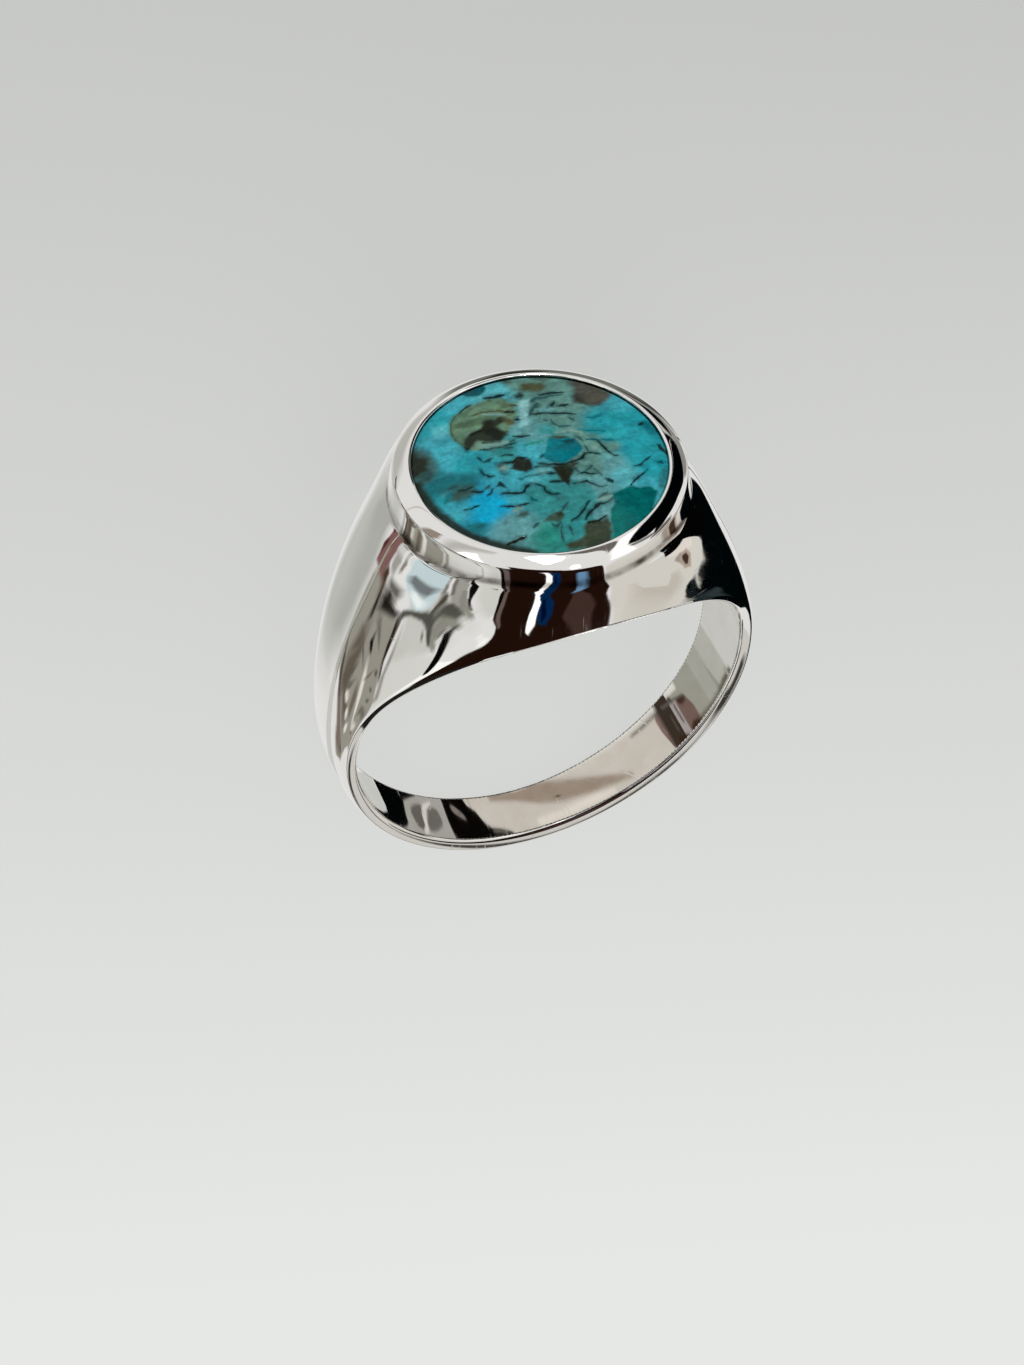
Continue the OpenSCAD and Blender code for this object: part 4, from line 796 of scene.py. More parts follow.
class Shell:
    """A mesh that is drawn out loop by loop from its first ring of points."""

    def __init__(self):
        self.bm = bmesh.new()

    def first_ring(self, places):
        made = bmesh.ops.create_circle(self.bm, cap_ends=False, radius=MM, segments=len(places))
        for vert, place in zip(made["verts"], places):
            vert.co = place
        return made["verts"]

    def edges_of(self, ring, closed=True):
        ends = zip(ring, ring[1:] + ring[:1]) if closed else zip(ring, ring[1:])
        return [self.bm.edges.get(pair) for pair in ends]

    def draw_out(self, ring, places, closed=True):
        """Extrudes a ring or a chain of points to new places and returns the new one."""
        made = bmesh.ops.extrude_edge_only(self.bm, edges=self.edges_of(ring, closed))["geom"]
        fresh = {item for item in made if isinstance(item, bmesh.types.BMVert)}
        following = []
        for vert, place in zip(ring, places):
            partner = next(edge.other_vert(vert) for edge in vert.link_edges if edge.other_vert(vert) in fresh)
            partner.co = place
            following.append(partner)
        return following

    def draw_rings(self, ring, rings):
        """Draws a ring out through each list of places in turn and returns the last ring."""
        for places in rings:
            ring = self.draw_out(ring, places)
        return ring

    def merge(self):
        bmesh.ops.remove_doubles(self.bm, verts=self.bm.verts, dist=MERGE)

    def round_off(self, edges, size, segments):
        bmesh.ops.bevel(self.bm, geom=edges, offset=size, offset_type="OFFSET", segments=segments,
                        profile=0.5, affect="EDGES", clamp_overlap=False, material=-1)

    def finish(self, name, place=LAID_DOWN):
        """Merges the seams, lays the mesh down and makes the object."""
        self.merge()
        bmesh.ops.transform(self.bm, matrix=place, verts=self.bm.verts)
        bmesh.ops.recalc_face_normals(self.bm, faces=self.bm.faces)
        mesh = bpy.data.meshes.new(name)
        self.bm.to_mesh(mesh)
        self.bm.free()
        mesh.shade_smooth()
        obj = bpy.data.objects.new(name, mesh)
        bpy.context.scene.collection.objects.link(obj)
        return obj


def steps(count):
    """Shares from just over 0 to 1."""
    return [(i + 1) / count for i in range(count)]


def mix(a, b, share):
    return a + (b - a) * share


class RING_OT_silver(bpy.types.Operator):
    """Build the polished silver: shank, shoulders, head, bezel and the hollow under the stone"""
    bl_idname = "ring.silver"
    bl_label = "Silver ring"

    def spoke_end(self, sizes, spoke):
        """The turn and the dome angle where a spoke of the head ends, on the head's four sides."""
        across, along = sizes.spokes_across, sizes.spokes_along
        k = (spoke + across // 2) % (2 * (across + along))
        if k < across:
            return sizes.head_turn, math.pi * (1 - k / across)
        if k < across + along:
            return sizes.head_turn * (1 - 2 * (k - across) / along), 0.0
        if k < 2 * across + along:
            return -sizes.head_turn, math.pi * (k - across - along) / across
        return sizes.head_turn * (2 * (k - 2 * across - along) / along - 1), math.pi

    def outside_rings(self, sizes, spokes):
        """The outside of the head, from its four-sided border in to the bezel's foot."""
        ends = [self.spoke_end(sizes, i) for i in range(len(spokes))]
        feet = [dome_under(sizes, sizes.foot_r * math.cos(angle), sizes.foot_r * math.sin(angle)) for angle in spokes]
        closest = [FOOT_LOOP / (dome_place(sizes, *end) - dome_place(sizes, *foot)).length
                   for foot, end in zip(feet, ends)]
        rings = [[dome_place(sizes, *end) for end in ends]]
        for share in steps(HEAD_LOOPS):
            ring = []
            for foot, end, close in zip(feet, ends, closest):
                at = mix(1, close, share ** HEAD_CROWDING)
                ring.append(dome_place(sizes, mix(foot[0], end[0], at), mix(foot[1], end[1], at)))
            rings.append(ring)
        return rings + [[dome_place(sizes, *foot) for foot in feet]]

    def wall_rings(self, sizes, spokes, foot):
        """The bezel's wall from its foot to its ridge."""
        ridge = [stone_place(angle, sizes.ridge_r, sizes.ridge_top) for angle in spokes]
        return [[mix(low, high, share) for low, high in zip(foot, ridge)] for share in WALL_LOOPS] + [ridge]

    def pocket_rings(self, sizes, spokes):
        """The bezel's slope and lip, then the pocket of the stone down to its ledge."""
        profile = []
        for share in SLOPE_LOOPS:
            bulge = SLOPE_BULGE * share * (1 - share)
            profile.append((mix(sizes.ridge_r, sizes.lip_r + SLOPE_END, share),
                            mix(sizes.ridge_top, sizes.lip_top, share) + bulge))
        profile += [(sizes.lip_r + out * MM, sizes.lip_top - down * MM) for out, down in LIP]
        lip_end = profile[-1][1]
        profile += [
            (mix(sizes.lip_r, sizes.seat_r, 0.5), mix(lip_end, sizes.seat_top, 0.5)),
            (sizes.seat_r, sizes.seat_top),
            (sizes.seat_r, mix(sizes.seat_top, sizes.ledge_top, 0.5)),
            (sizes.seat_r, sizes.ledge_top),
            (sizes.opening_r, sizes.ledge_top),
            (sizes.opening_r, sizes.ledge_top - sizes.ledge),
        ]
        return [[stone_place(angle, radius, top) for angle in spokes] for radius, top in profile]

    def hollow_edge(self, sizes, angle):
        """Where the hollow ends on the finger hole's wall: the turn and the length along the finger."""
        c, s = math.cos(angle), math.sin(angle)
        reach = (abs(c) ** HOLLOW_SQUARENESS + abs(s) ** HOLLOW_SQUARENESS) ** (-1 / HOLLOW_SQUARENESS)
        return sizes.hollow_turn * c * reach, sizes.hollow_half_w * s * reach

    def hollow_rings(self, sizes, spokes):
        """The hollow, from the opening behind the stone to its edge on the finger hole's wall."""
        rings = []
        for share in steps(HOLLOW_LOOPS):
            ring = []
            for angle in spokes:
                start = stone_place(angle, sizes.opening_r, sizes.ledge_top - sizes.ledge)
                turn = math.atan2(start.x, -start.y)
                height = math.hypot(start.x, start.y) - sizes.bore_r
                end_turn, end_along = self.hollow_edge(sizes, angle)
                bulge = 1 - share ** HOLLOW_BULGE
                along = mix(start.z, end_along, share ** HOLLOW_SPREAD)
                ring.append(ring_place(mix(turn, end_turn, share), sizes.bore_r + height * bulge, along))
            rings.append(ring)
        return rings

    def bore_rings(self, sizes, spokes):
        """The finger hole's wall from the hollow's edge to the head's border."""
        rings = []
        for share in steps(BORE_LOOPS):
            ring = []
            for i, angle in enumerate(spokes):
                turn, along = self.hollow_edge(sizes, angle)
                end_turn, end_angle = self.spoke_end(sizes, i)
                end_along = half_width(end_turn) * (1 - 2 * end_angle / math.pi)
                at = mix(BORE_START, 1, share) if share < 1 else 1
                ring.append(ring_place(mix(turn, end_turn, at), sizes.bore_r, mix(along, end_along, at)))
            rings.append(ring)
        return rings

    def section_places(self, sizes, turn):
        """One section of the shank as a closed loop: over the dome, then back along the finger hole."""
        across = sizes.spokes_across
        rim = rim_mm(math.remainder(turn, 2 * math.pi)) * MM
        wide = half_width(math.remainder(turn, 2 * math.pi))
        places = [dome_place(sizes, turn, math.pi * k / across) for k in range(across + 1)]
        places.append(ring_place(turn, sizes.bore_r + rim * (1 - RIM_LOOP), -wide))
        places += [ring_place(turn, sizes.bore_r, -wide * (1 - 2 * k / across)) for k in range(across + 1)]
        places.append(ring_place(turn, sizes.bore_r + rim * RIM_LOOP, wide))
        return places

    def ring_at(self, shell, places):
        """The vertices that already lie at a list of places."""
        verts = list(shell.bm.verts)
        tree = kdtree.KDTree(len(verts))
        for number, vert in enumerate(verts):
            tree.insert(vert.co, number)
        tree.balance()
        found = [tree.find(place) for place in places]
        if max(far for spot, number, far in found) > MERGE:
            raise RuntimeError("The shank's first section doesn't meet the head")
        return [verts[number] for spot, number, far in found]

    def execute(self, context):
        sizes = context.scene.ring_sizes
        count = 2 * (sizes.spokes_across + sizes.spokes_along)
        spokes = [2 * math.pi * i / count for i in range(count)]
        shell = Shell()
        outside = self.outside_rings(sizes, spokes)
        border = shell.first_ring(outside[0])
        foot = shell.draw_rings(border, outside[1:])
        ridge = shell.draw_rings(foot, self.wall_rings(sizes, spokes, [vert.co.copy() for vert in foot]))
        opening = shell.draw_rings(ridge, self.pocket_rings(sizes, spokes))
        edge = shell.draw_rings(opening, self.hollow_rings(sizes, spokes))
        inner_border = shell.draw_rings(edge, self.bore_rings(sizes, spokes))
        shell.round_off(shell.edges_of(foot), sizes.foot_round, 6)
        shell.round_off(shell.edges_of(ridge), sizes.ridge_round, 3)
        shell.round_off(shell.edges_of(edge), sizes.hollow_round, 3)
        self.close_rims(sizes, shell, border, inner_border)
        self.draw_shank(sizes, shell)
        shell.merge()
        shell.round_off(self.finger_hole_edges(sizes, shell), sizes.hole_round, 4)
        ring_object = shell.finish("silver_ring_polished")
        self.mark_wear(sizes, ring_object.data)
        ring_object.data.materials.append(silver_material())
        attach(ring_object, "root")
        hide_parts("silver_ring")
        return {"FINISHED"}

    def mark_wear(self, sizes, mesh):
        """Marks the finger hole's wall, the small pit in it and the seam at the bezel's foot for the material."""
        upright = LAID_DOWN.inverted()
        hole, pit, seam = [], [], []
        middle = ring_place(sizes.pit_turn, sizes.bore_r, sizes.pit_along)
        for vert in mesh.vertices:
            place = upright @ vert.co
            out = math.hypot(place.x, place.y)
            hole.append(1 - ease(*HOLE_FADE, out - sizes.bore_r))
            pit.append(1 - ease(*PIT_FADE, (place - middle).length))
            far = abs(math.hypot(place.x, place.z) - sizes.foot_r + SEAM_INSIDE)
            seam.append(1 - ease(*SEAM_FADE, far) if -place.y > sizes.bore_r + SEAM_OVER_HOLE else 0)
        for name, values in (("hole", hole), ("pit", pit), ("seam", seam)):
            mesh.attributes.new(name, "FLOAT", "POINT").data.foreach_set("value", values)

    def close_rims(self, sizes, shell, border, inner_border):
        """The flat rim along both edges of the head."""
        across, along = sizes.spokes_across, sizes.spokes_along
        half = across // 2
        count = len(border)
        for first in (half, half + across + along):
            picks = [(first + k) % count for k in range(along + 1)]
            chain = [border[i] for i in picks]
            outer = [vert.co.copy() for vert in chain]
            inner = [inner_border[i].co.copy() for i in picks]
            chain = shell.draw_out(chain, [mix(a, b, RIM_LOOP) for a, b in zip(outer, inner)], closed=False)
            shell.draw_out(chain, inner, closed=False)

    def draw_shank(self, sizes, shell):
        """The rest of the ring, from one end of the head round the back to the other."""
        start, end = sizes.head_turn, 2 * math.pi - sizes.head_turn
        shell.merge()
        shell.draw_rings(self.ring_at(shell, self.section_places(sizes, start)),
                         [self.section_places(sizes, mix(start, end, share)) for share in steps(sizes.shank_steps)])

    def finger_hole_edges(self, sizes, shell):
        def on_edge(vert):
            out = math.hypot(vert.co.x, vert.co.y)
            turn = math.atan2(vert.co.x, -vert.co.y)
            near = 0.002 * MM
            return abs(out - sizes.bore_r) < near and abs(abs(vert.co.z) - half_width(turn)) < near
        corners = {vert for vert in shell.bm.verts if on_edge(vert)}
        return [edge for edge in shell.bm.edges if edge.verts[0] in corners and edge.verts[1] in corners]


class Nodes:
    """A new material with short ways to add the textures it needs, all on Object coordinates."""

    def __init__(self, name):
        self.material = bpy.data.materials.new(name)
        self.material.use_nodes = True
        self.nodes, self.links = self.material.node_tree.nodes, self.material.node_tree.links
        self.shader = self.nodes["Principled BSDF"]
        self.place = self.nodes.new("ShaderNodeTexCoord").outputs["Object"]

    def join(self, value, socket):
        if isinstance(value, bpy.types.NodeSocket):
            self.links.new(value, socket)
        else:
            socket.default_value = value

    def grain(self, scale, detail, roughness=0.5, place=None):
        texture = self.nodes.new("ShaderNodeTexNoise")
        texture.inputs["Scale"].default_value = scale
        texture.inputs["Detail"].default_value = detail
        texture.inputs["Roughness"].default_value = roughness
        self.join(place or self.place, texture.inputs["Vector"])
        return texture.outputs["Fac"]

    def ramp(self, source, *stops):
        node = self.nodes.new("ShaderNodeValToRGB")
        node.color_ramp.elements.remove(node.color_ramp.elements[1])
        for number, (at, colour) in enumerate(stops):
            element = node.color_ramp.elements[0] if number == 0 else node.color_ramp.elements.new(at)
            element.position = at
            element.color = (*colour, 1)
        self.join(source, node.inputs["Fac"])
        return node.outputs["Color"]

    def blend(self, kind, share, first, second):
        node = self.nodes.new("ShaderNodeMix")
        node.data_type = "RGBA"
        node.blend_type = kind
        self.join(share, node.inputs["Factor"])
        self.join(first, node.inputs["A"])
        self.join(second, node.inputs["B"])
        return node.outputs["Result"]

    def span(self, source, low, high, start=0.0, end=1.0):
        """Moves a value from between start and end to between low and high."""
        node = self.nodes.new("ShaderNodeMapRange")
        for name, value in (("From Min", start), ("From Max", end), ("To Min", low), ("To Max", high)):
            node.inputs[name].default_value = value
        self.join(source, node.inputs["Value"])
        return node.outputs["Result"]

    def attribute(self, name):
        node = self.nodes.new("ShaderNodeAttribute")
        node.attribute_name = name
        return node

    def calculate(self, kind, first, second):
        node = self.nodes.new("ShaderNodeMath")
        node.operation = kind
        self.join(first, node.inputs[0])
        self.join(second, node.inputs[1])
        return node.outputs["Value"]

    def bump(self, height, strength, distance, below=None, sunk=False):
        node = self.nodes.new("ShaderNodeBump")
        node.invert = sunk
        node.inputs["Strength"].default_value = strength
        node.inputs["Distance"].default_value = distance
        self.join(height, node.inputs["Height"])
        if below:
            self.join(below, node.inputs["Normal"])
        return node.outputs["Normal"]

    def stretched(self, turn, scale):
        """Object coordinates, turned and drawn out, for scratches that run one way."""
        node = self.nodes.new("ShaderNodeMapping")
        node.inputs["Rotation"].default_value = turn
        node.inputs["Scale"].default_value = scale
        self.join(self.place, node.inputs["Vector"])
        return node.outputs["Vector"]


def silver_material():
    """Polished silver, a little wavy, with fine scratches and the dull tone of wear in the finger hole."""
    made = Nodes("polished_silver")
    hole = made.attribute("hole").outputs["Fac"]
    pit = made.attribute("pit").outputs["Fac"]
    cloud = made.grain(260, 3)
    bright = made.ramp(cloud, (0.3, (0.9, 0.888, 0.868)), (0.7, (0.955, 0.95, 0.94)))
    worn = made.ramp(made.grain(700, 4, 0.65), (0.35, (0.83, 0.79, 0.73)), (0.62, (0.93, 0.915, 0.885)))
    tone = made.blend("MIX", made.span(hole, 0.0, 0.6), bright, worn)
    broken = made.span(made.grain(900, 3), 0.45, 1, 0.4, 0.6)
    tarnish = made.calculate("MULTIPLY", made.attribute("seam").outputs["Fac"], broken)
    tone = made.blend("MIX", tarnish, tone, (0.1, 0.08, 0.065, 1))
    made.join(made.blend("MIX", pit, tone, (0.07, 0.055, 0.045, 1)), made.shader.inputs["Base Color"])
    made.shader.inputs["Metallic"].default_value = 1
    fine = made.grain(900, 2, 0.5, made.stretched((0.5, 0.2, 0.9), (9, 0.35, 0.5)))
    cross = made.grain(800, 2, 0.5, made.stretched((1.2, 0.9, -0.4), (0.4, 8, 0.5)))
    scratches = made.calculate("MAXIMUM", made.span(fine, 0, 1, 0.67, 0.76), made.span(cross, 0, 1, 0.68, 0.77))
    clouded = made.span(made.grain(1400, 4, 0.6), 0.022, 0.05, 0.3, 0.7)
    gloss = made.calculate("ADD", clouded, made.span(scratches, 0, 0.1))
    gloss = made.calculate("MULTIPLY", gloss, made.span(hole, 1, 0.45))
    made.join(gloss, made.shader.inputs["Roughness"])
    calm = made.span(hole, 1, 0.04)
    waves = made.bump(made.calculate("MULTIPLY", made.grain(230, 1), calm), 0.1, 0.00001)
    made.join(made.bump(scratches, 0.04, 0.000002, waves, sunk=True), made.shader.inputs["Normal"])
    return made.material


def drawn_out(places, wide, high, seed):
    """Noise at flat places, of one size across and another up, in mm."""
    return np.array([noise.noise(Vector((x / wide, y / high, seed))) for x, y in places])


def wander(places, size, reach, seed):
    """Moves flat places about, as a hand-drawn edge wanders: noise of one size in mm, up to a reach in mm."""
    moved = places.copy()
    for axis in (0, 1):
        moved[:, axis] += reach * drawn_out(places, size, size, seed + 7.3 * axis)
    return moved


def line_distance(places, start, end):
    """Distance of places from a straight line between two points, and how far along it each is."""
    along = np.subtract(end, start)
    share = np.clip((places - start) @ along / (along @ along), 0, 1)
    return np.linalg.norm(places - start - share[:, None] * along, axis=1), share


def inside_depth(places, outline):
    """How deep places lie inside an outline, and below 0 how far outside."""
    nearest = np.full(len(places), np.inf)
    inside = np.zeros(len(places), bool)
    for start, end in zip(outline, outline[1:] + outline[:1]):
        nearest = np.minimum(nearest, line_distance(places, start, end)[0])
        crosses = (start[1] > places[:, 1]) != (end[1] > places[:, 1])
        if start[1] != end[1]:
            at = start[0] + (places[:, 1] - start[1]) * (end[0] - start[0]) / (end[1] - start[1])
            inside ^= crosses & (places[:, 0] < at)
    return np.where(inside, nearest, -nearest)


def smooth_share(low, high, values):
    u = np.clip((values - low) / (high - low), 0, 1)
    return u * u * (3 - 2 * u)


def crack_cover(places, crack, uneven):
    """How much of each place a crack covers: it thins towards its ends and is a little uneven."""
    cover = np.zeros(len(places))
    count = len(crack.path) - 1
    for number, (start, end) in enumerate(zip(crack.path, crack.path[1:])):
        far, share = line_distance(places, start, end)
        run = (number + share) / count
        half = crack.width * 0.62 * (0.4 + 0.6 * np.sin(math.pi * np.clip(run, 0.02, 0.98)) ** 0.6) * uneven
        core = 1 - smooth_share(half * 0.6, half * 1.4, far)
        shade = 0.42 * (1 - smooth_share(half, half * 4, far))
        cover = np.maximum(cover, np.maximum(core, shade))
    return cover


def paint_stone(places):
    """The stone's own colour at flat places on its face in mm, with a painted shade along its lower left edge, and
    how deep its cracks are there.
    """
    tones = {name: np.maximum(np.array(from_screen(tone)) - STONE_SHEEN, 0.0008) / STONE_LIGHT
             for name, tone in TONES.items()}
    soft = wander(wander(places, 1.1, 0.22, 3.1), 0.35, 0.08, 11.7)
    edges = wander(wander(places, 0.9, 0.1, 5.9), 0.22, 0.045, 2.3)
    lines = wander(wander(places, 0.7, 0.05, 8.8), 0.15, 0.03, 4.1)
    weights = np.zeros(len(places))
    colour = np.zeros((len(places), 3))
    for field in FIELDS:
        far = np.linalg.norm(soft - (field.right, field.up), axis=1) / field.reach
        weight = 1 / (0.05 + far ** 4)
        weights += weight
        colour += weight[:, None] * tones[field.tone]
    colour /= weights[:, None]
    for patch in PATCHES:
        cover = smooth_share(-patch.soft, patch.soft, inside_depth(edges, patch.outline)) * patch.cover
        colour += cover[:, None] * (tones[patch.tone] - colour)
    strata = drawn_out(places, 0.75, 0.28, 4.4) + 0.6 * drawn_out(places, 0.3, 0.11, 9)
    colour *= 1 + 0.26 * strata[:, None]
    veins = 1 - np.minimum(abs(drawn_out(soft, 0.95, 0.3, 6)) / 0.035, 1)
    where = drawn_out(places, 1.3, 0.8, 21)
    middle = smooth_share(5, 2.5, np.hypot(places[:, 0] - 0.4, places[:, 1] - 0.6))
    middle *= smooth_share(-0.15, 0.25, where)
    colour += (0.55 * veins * middle)[:, None] * (tones["storm"] - colour)
    uneven = 1 + 0.8 * drawn_out(places, 0.26, 0.26, 17)
    depth = np.zeros(len(places))
    for crack in CRACKS:
        cover = crack_cover(lines, crack, uneven)
        colour += cover[:, None] * (tones[crack.tone] - colour)
        depth = np.maximum(depth, cover)
    return colour, depth


def stone_material():
    """Polished turquoise: its painted face, a plain dark back, and fine grain, cloud and pits over both."""
    made = Nodes("turquoise")
    back = made.ramp(made.grain(420, 3), (0.3, (0.004, 0.07, 0.08)), (0.5, (0.01, 0.15, 0.17)),
                     (0.62, (0.03, 0.24, 0.25)), (0.72, (0.1, 0.09, 0.05)))
    face = made.attribute("paint").outputs["Color"]
    colour = made.blend("MIX", made.attribute("front").outputs["Fac"], back, face)
    cloud = made.ramp(made.grain(1500, 4, 0.6), (0.32, (0.78, 0.83, 0.86)), (0.68, (1.18, 1.13, 1.1)))
    colour = made.blend("MULTIPLY", 1.0, colour, cloud)
    streaks = made.ramp(made.grain(5200, 2), (0.35, (0.88, 0.88, 0.88)), (0.65, (1.1, 1.1, 1.1)))
    made.join(made.blend("MULTIPLY", 1.0, colour, streaks), made.shader.inputs["Base Color"])
    made.shader.inputs["Specular IOR Level"].default_value = 0.08
    made.join(made.span(made.grain(900, 3), 0.06, 0.14), made.shader.inputs["Roughness"])
    ripple = made.bump(made.grain(700, 2), 0.3, 0.00001)
    crack = made.attribute("crack").outputs["Fac"]
    made.join(made.bump(crack, 0.5, 0.00002, ripple, sunk=True), made.shader.inputs["Normal"])
    return made.material


class RING_OT_stone(bpy.types.Operator):
    """Build the turquoise with its low dome and paint its inclusions, its cracks and a shade along its lower left
    edge
    """
    bl_idname = "ring.stone"
    bl_label = "Turquoise"

    def execute(self, context):
        sizes = context.scene.stone_sizes
        bm = bmesh.new()
        made = bmesh.ops.create_grid(bm, x_segments=sizes.cells, y_segments=sizes.cells, size=1)
        face = made["verts"]
        dome_r = (sizes.face_r ** 2 + sizes.dome_rise ** 2) / (2 * sizes.dome_rise)
        for vert in face:
            u, v = vert.co.x, vert.co.y
            x = u * math.sqrt(1 - v * v / 2) * sizes.face_r
            along = v * math.sqrt(1 - u * u / 2) * sizes.face_r
            rise = math.sqrt(max(dome_r ** 2 - x * x - along * along, 0)) - dome_r + sizes.dome_rise
            vert.co = Vector((x, -sizes.face_edge - rise, along))
        bm.verts.index_update()
        # The photograph shows the stone with the finger's way down and the ring's left on its right
        places = np.array([(-vert.co.x, -vert.co.z) for vert in face]) / MM
        rim = [edge for edge in bm.edges if edge.is_boundary]
        for radius, top in ((sizes.girdle_r, sizes.girdle_top), (sizes.girdle_r, sizes.back)):
            made = bmesh.ops.extrude_edge_only(bm, edges=rim)["geom"]
            rim = [item for item in made if isinstance(item, bmesh.types.BMEdge) and item.is_boundary]
            for vert in {vert for edge in rim for vert in edge.verts}:
                out = Vector((vert.co.x, vert.co.z)).normalized() * radius
                vert.co = Vector((out.x, -top, out.y))
        bmesh.ops.holes_fill(bm, edges=rim)
        bmesh.ops.transform(bm, matrix=LAID_DOWN, verts=bm.verts)
        bmesh.ops.recalc_face_normals(bm, faces=bm.faces)
        mesh = bpy.data.meshes.new("turquoise_cabochon")
        bm.to_mesh(mesh)
        bm.free()
        mesh.shade_smooth()
        mesh.set_sharp_from_angle(angle=math.radians(35))
        colour, depth = paint_stone(places)
        rest = len(mesh.vertices) - len(places)
        paint = np.vstack((np.hstack((colour, np.ones((len(places), 1)))), np.full((rest, 4), 0.1)))
        mesh.attributes.new("paint", "FLOAT_COLOR", "POINT").data.foreach_set("color", paint.ravel())
        front = np.concatenate((np.ones(len(places)), np.zeros(rest)))
        mesh.attributes.new("front", "FLOAT", "POINT").data.foreach_set("value", front)
        crack = np.concatenate((depth, np.zeros(rest)))
        mesh.attributes.new("crack", "FLOAT", "POINT").data.foreach_set("value", crack)
        stone = bpy.data.objects.new("turquoise_cabochon", mesh)
        context.scene.collection.objects.link(stone)
        stone.data.materials.append(stone_material())
        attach(stone, "root")
        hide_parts("turquoise_stone")
        return {"FINISHED"}


def direction(azimuth, elevation):
    """The unit vector from the ring towards an azimuth and an elevation in degrees."""
    turn, height = math.radians(azimuth), math.radians(elevation)
    return Vector((math.sin(turn) * math.cos(height), -math.cos(turn) * math.cos(height), math.sin(height)))


def from_screen(colour):
    """A colour out of 255, as a picture shows it, as the light that it stands for."""
    shares = [value / 255 for value in colour]
    return tuple(share / 12.92 if share <= 0.04045 else ((share + 0.055) / 1.055) ** 2.4 for share in shares)


# The floor's half width, which way it glows less and from where to where, in metres
FLOOR_HALF, GLOW_WAY, GLOW_SPAN = 1.5, (0.3, 0.954, 0), (-0.045, 0.04)
ROOM_COLOUR, SOFTBOX_SIZE = (1, 0.995, 0.98), 0.3
# The camera's sensor height in mm
SENSOR = 36
# The most degrees between a strip's rows, and the most of a card's width that each soft edge takes
ROW_STEP, MOST_INSET = 2, 0.35


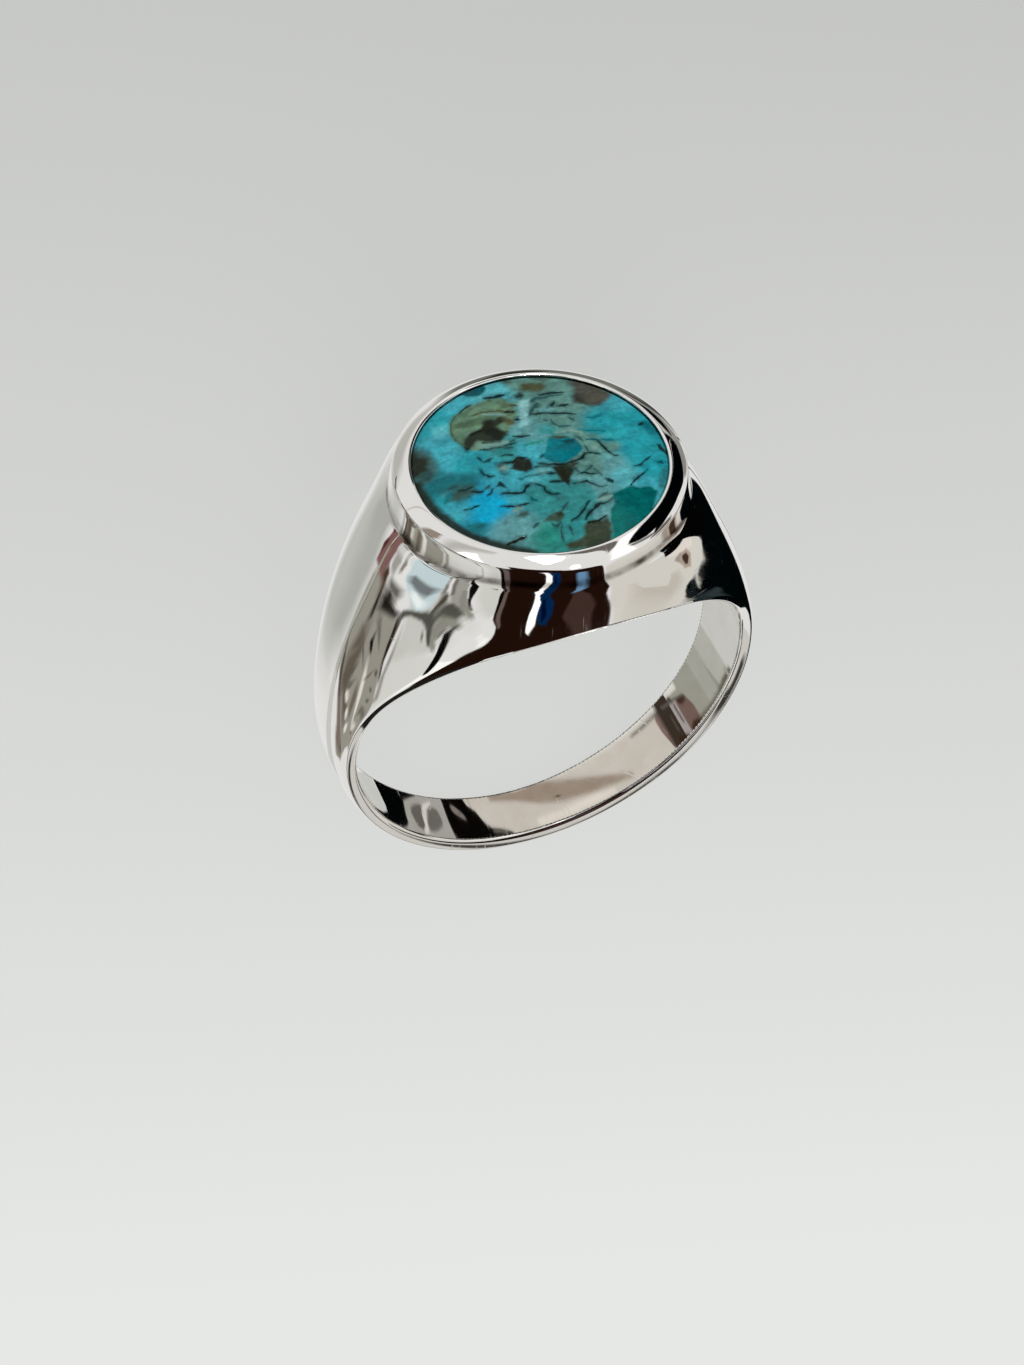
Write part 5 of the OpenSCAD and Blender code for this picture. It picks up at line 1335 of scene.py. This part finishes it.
class RING_OT_stage(bpy.types.Operator):
    """Build the floor, the soft light, the cards that the silver reflects and the camera"""
    bl_idname = "ring.stage"
    bl_label = "Stage"

    def execute(self, context):
        settings = context.scene.stage_settings
        context.scene.view_settings.view_transform = "Standard"
        self.floor(context, settings)
        self.cards(context)
        self.light(context, settings)
        self.camera(context, settings)
        return {"FINISHED"}

    def floor(self, context, settings):
        bm = bmesh.new()
        bmesh.ops.create_grid(bm, x_segments=1, y_segments=1, size=FLOOR_HALF)
        mesh = bpy.data.meshes.new("floor")
        bm.to_mesh(mesh)
        bm.free()
        floor = bpy.data.objects.new("floor", mesh)
        context.scene.collection.objects.link(floor)
        floor.visible_glossy = False
        material = bpy.data.materials.new("floor_pale")
        material.use_nodes = True
        shader = material.node_tree.nodes["Principled BSDF"]
        shader.inputs["Base Color"].default_value = (*settings.floor_colour, 1)
        shader.inputs["Roughness"].default_value = 1
        shader.inputs["Specular IOR Level"].default_value = 0
        # Painted light: the floor glows by itself, more before the ring and less beyond it as a painted falloff of
        # light, and its dark diffuse colour keeps the ring's shadow on it faint
        shader.inputs["Emission Color"].default_value = (*settings.floor_glow, 1)
        nodes, links = material.node_tree.nodes, material.node_tree.links
        place = nodes.new("ShaderNodeTexCoord")
        along = nodes.new("ShaderNodeVectorMath")
        along.operation = "DOT_PRODUCT"
        along.inputs[1].default_value = GLOW_WAY
        fall = nodes.new("ShaderNodeMapRange")
        for name, value in (("From Min", GLOW_SPAN[0]), ("From Max", GLOW_SPAN[1]),
                            ("To Min", settings.glow_far), ("To Max", settings.glow_near)):
            fall.inputs[name].default_value = value
        links.new(place.outputs["Object"], along.inputs[0])
        links.new(along.outputs["Value"], fall.inputs["Value"])
        links.new(fall.outputs["Result"], shader.inputs["Emission Strength"])
        floor.data.materials.append(material)

    def cards(self, context):
        """One mesh of all the cards, which gives no light to anything but gloss."""
        shell = Shell()
        glow = shell.bm.verts.layers.float_color.new("glow")
        tilt = LAID_DOWN.to_3x3()
        for sheet in SHEETS:
            self.sheet(shell, glow, sheet)
        for strip in STRIPS:
            self.band(shell, glow, strip, [(direction(turn, low), direction(turn, high))
                                           for turn, low, high in self.fine_rows(strip.rows)])
        for strip in HOLE_STRIPS:
            self.band(shell, glow, strip, [(tilt @ direction(turn, low), tilt @ direction(turn, high))
                                           for turn, low, high in self.fine_rows(strip.rows)])
        for stroke in STROKES:
            self.band(shell, glow, stroke, self.stroke_edges(stroke.path))
        cards = shell.finish("reflection_cards", Matrix())
        for ray in ("camera", "diffuse", "shadow", "transmission", "volume_scatter"):
            setattr(cards, f"visible_{ray}", False)
        material = bpy.data.materials.new("card_glow")
        material.use_nodes = True
        nodes, links = material.node_tree.nodes, material.node_tree.links
        nodes.remove(nodes["Principled BSDF"])
        colour = nodes.new("ShaderNodeAttribute")
        colour.attribute_name = "glow"
        emission = nodes.new("ShaderNodeEmission")
        clear = nodes.new("ShaderNodeBsdfTransparent")
        edge = nodes.new("ShaderNodeMixShader")
        links.new(colour.outputs["Color"], emission.inputs["Color"])
        links.new(colour.outputs["Alpha"], edge.inputs["Fac"])
        links.new(clear.outputs["BSDF"], edge.inputs[1])
        links.new(emission.outputs["Emission"], edge.inputs[2])
        links.new(edge.outputs["Shader"], nodes["Material Output"].inputs["Surface"])
        cards.data.materials.append(material)

    def paint(self, verts, layer, card, cover):
        light = [value * card.glow for value in from_screen(card.colour)]
        for vert in verts:
            vert[layer] = (*light, cover)

    def sheet(self, shell, layer, sheet):
        """A card with an outline: clear at its outer edge, full from its inner edge to its middle."""
        spots = [direction(*spot) for spot in sheet.outline]
        middle = sum(spots, Vector()).normalized()
        following = spots[1:] + spots[:1]
        winding = sum(a.cross(b).dot(middle) for a, b in zip(spots, following))
        reach = math.copysign(math.radians(sheet.soft) / 2, winding)
        outward = [(after - before).cross(spot).normalized() * reach
                   for before, spot, after in zip(spots[-1:] + spots[:-1], spots, following)]
        ring = shell.first_ring([(spot + out) * sheet.distance for spot, out in zip(spots, outward)])
        self.paint(ring, layer, sheet, 0)
        ring = shell.draw_out(ring, [(spot - out) * sheet.distance for spot, out in zip(spots, outward)])
        self.paint(ring, layer, sheet, 1)
        ring = shell.draw_out(ring, [middle * sheet.distance] * len(ring))
        self.paint(ring, layer, sheet, 1)

    def fine_rows(self, rows):
        """The rows of a strip with more between them, at most a row step apart."""
        fine = [rows[0]]
        for row, after in zip(rows, rows[1:]):
            count = math.ceil((after[0] - row[0]) / ROW_STEP)
            fine += [tuple(mix(a, b, share) for a, b in zip(row, after)) for share in steps(count)]
        return fine

    def stroke_edges(self, path):
        """Both edges of a stroke along its path."""
        spots = [direction(turn, height) for turn, height, width in path]
        edges = []
        for before, spot, after, point in zip(spots[:1] + spots[:-1], spots, spots[1:] + spots[-1:], path):
            side = (after - before).cross(spot).normalized() * math.radians(point[2]) / 2
            edges.append((spot - side, spot + side))
        return edges

    def band(self, shell, layer, card, edges):
        """A card between two edges, clear outside them and at both ends."""
        chain = None
        for number, (low, high) in enumerate(edges):
            across = high - low
            fade = across.normalized() * math.radians(card.soft) / 2
            inset = fade if fade.length < MOST_INSET * across.length else across * MOST_INSET
            spots = [spot * card.distance for spot in (low - fade, low + inset, high - inset, high + fade)]
            if chain is None:
                chain = [bmesh.ops.create_vert(shell.bm, co=spot)["vert"][0] for spot in spots]
                for pair in zip(chain, chain[1:]):
                    shell.bm.edges.new(pair)
            else:
                chain = shell.draw_out(chain, spots, closed=False)
            full = 0 < number < len(edges) - 1
            self.paint(chain, layer, card, 0)
            self.paint(chain[1:3], layer, card, 1 if full else 0)

    def light(self, context, settings):
        world = bpy.data.worlds.new("studio")
        context.scene.world = world
        world.use_nodes = True
        background = world.node_tree.nodes["Background"]
        background.inputs["Color"].default_value = (*ROOM_COLOUR, 1)
        background.inputs["Strength"].default_value = settings.world_glow
        data = bpy.data.lights.new("softbox", "AREA")
        data.shape = "SQUARE"
        data.size = SOFTBOX_SIZE
        data.energy = settings.softbox_power
        softbox = bpy.data.objects.new("softbox", data)
        softbox.visible_glossy = False
        place = Vector(settings.softbox_place)
        softbox.matrix_world = Matrix.Translation(place) @ place.to_track_quat("Z", "Y").to_matrix().to_4x4()
        context.scene.collection.objects.link(softbox)

    def camera(self, context, settings):
        back = direction(math.degrees(settings.azimuth), math.degrees(settings.elevation))
        right = Vector((0, 0, 1)).cross(back).normalized()
        up = back.cross(right)
        level = Matrix((right, up, back)).transposed().to_4x4()
        data = bpy.data.cameras.new("camera")
        data.sensor_fit = "VERTICAL"
        data.sensor_height = SENSOR
        data.lens = SENSOR / 2 / math.tan(settings.picture_angle / 2)
        data.clip_start = 0.01
        camera = bpy.data.objects.new("camera", data)
        context.scene.collection.objects.link(camera)
        place = Vector(settings.aim) + back * settings.distance
        camera.matrix_world = Matrix.Translation(place) @ level @ Matrix.Rotation(settings.roll, 4, "Z")
        context.scene.camera = camera


class RING_PT_panel(bpy.types.Panel):
    """Lists the ring's operators and sizes"""
    bl_idname = "RING_PT_panel"
    bl_label = "Turquoise signet ring"
    bl_space_type = "VIEW_3D"
    bl_region_type = "UI"
    bl_category = "Ring"

    def draw(self, context):
        scene = context.scene
        for operator, settings in ((RING_OT_silver, scene.ring_sizes), (RING_OT_stone, scene.stone_sizes),
                                   (RING_OT_stage, scene.stage_settings)):
            self.layout.operator(operator.bl_idname)
            for name in settings.__annotations__:
                self.layout.prop(settings, name)


CLASSES = (RingSizes, StoneSizes, StageSettings, RING_OT_silver, RING_OT_stone, RING_OT_stage, RING_PT_panel)


def register():
    for cls in CLASSES:
        bpy.utils.register_class(cls)
    bpy.types.Scene.ring_sizes = PointerProperty(type=RingSizes)
    bpy.types.Scene.stone_sizes = PointerProperty(type=StoneSizes)
    bpy.types.Scene.stage_settings = PointerProperty(type=StageSettings)


def unregister():
    del bpy.types.Scene.stage_settings
    del bpy.types.Scene.stone_sizes
    del bpy.types.Scene.ring_sizes
    for cls in reversed(CLASSES):
        bpy.utils.unregister_class(cls)


def main():
    register()
    bpy.ops.ring.silver()
    bpy.ops.ring.stone()
    bpy.ops.ring.stage()


if __name__ == "__main__":
    main()
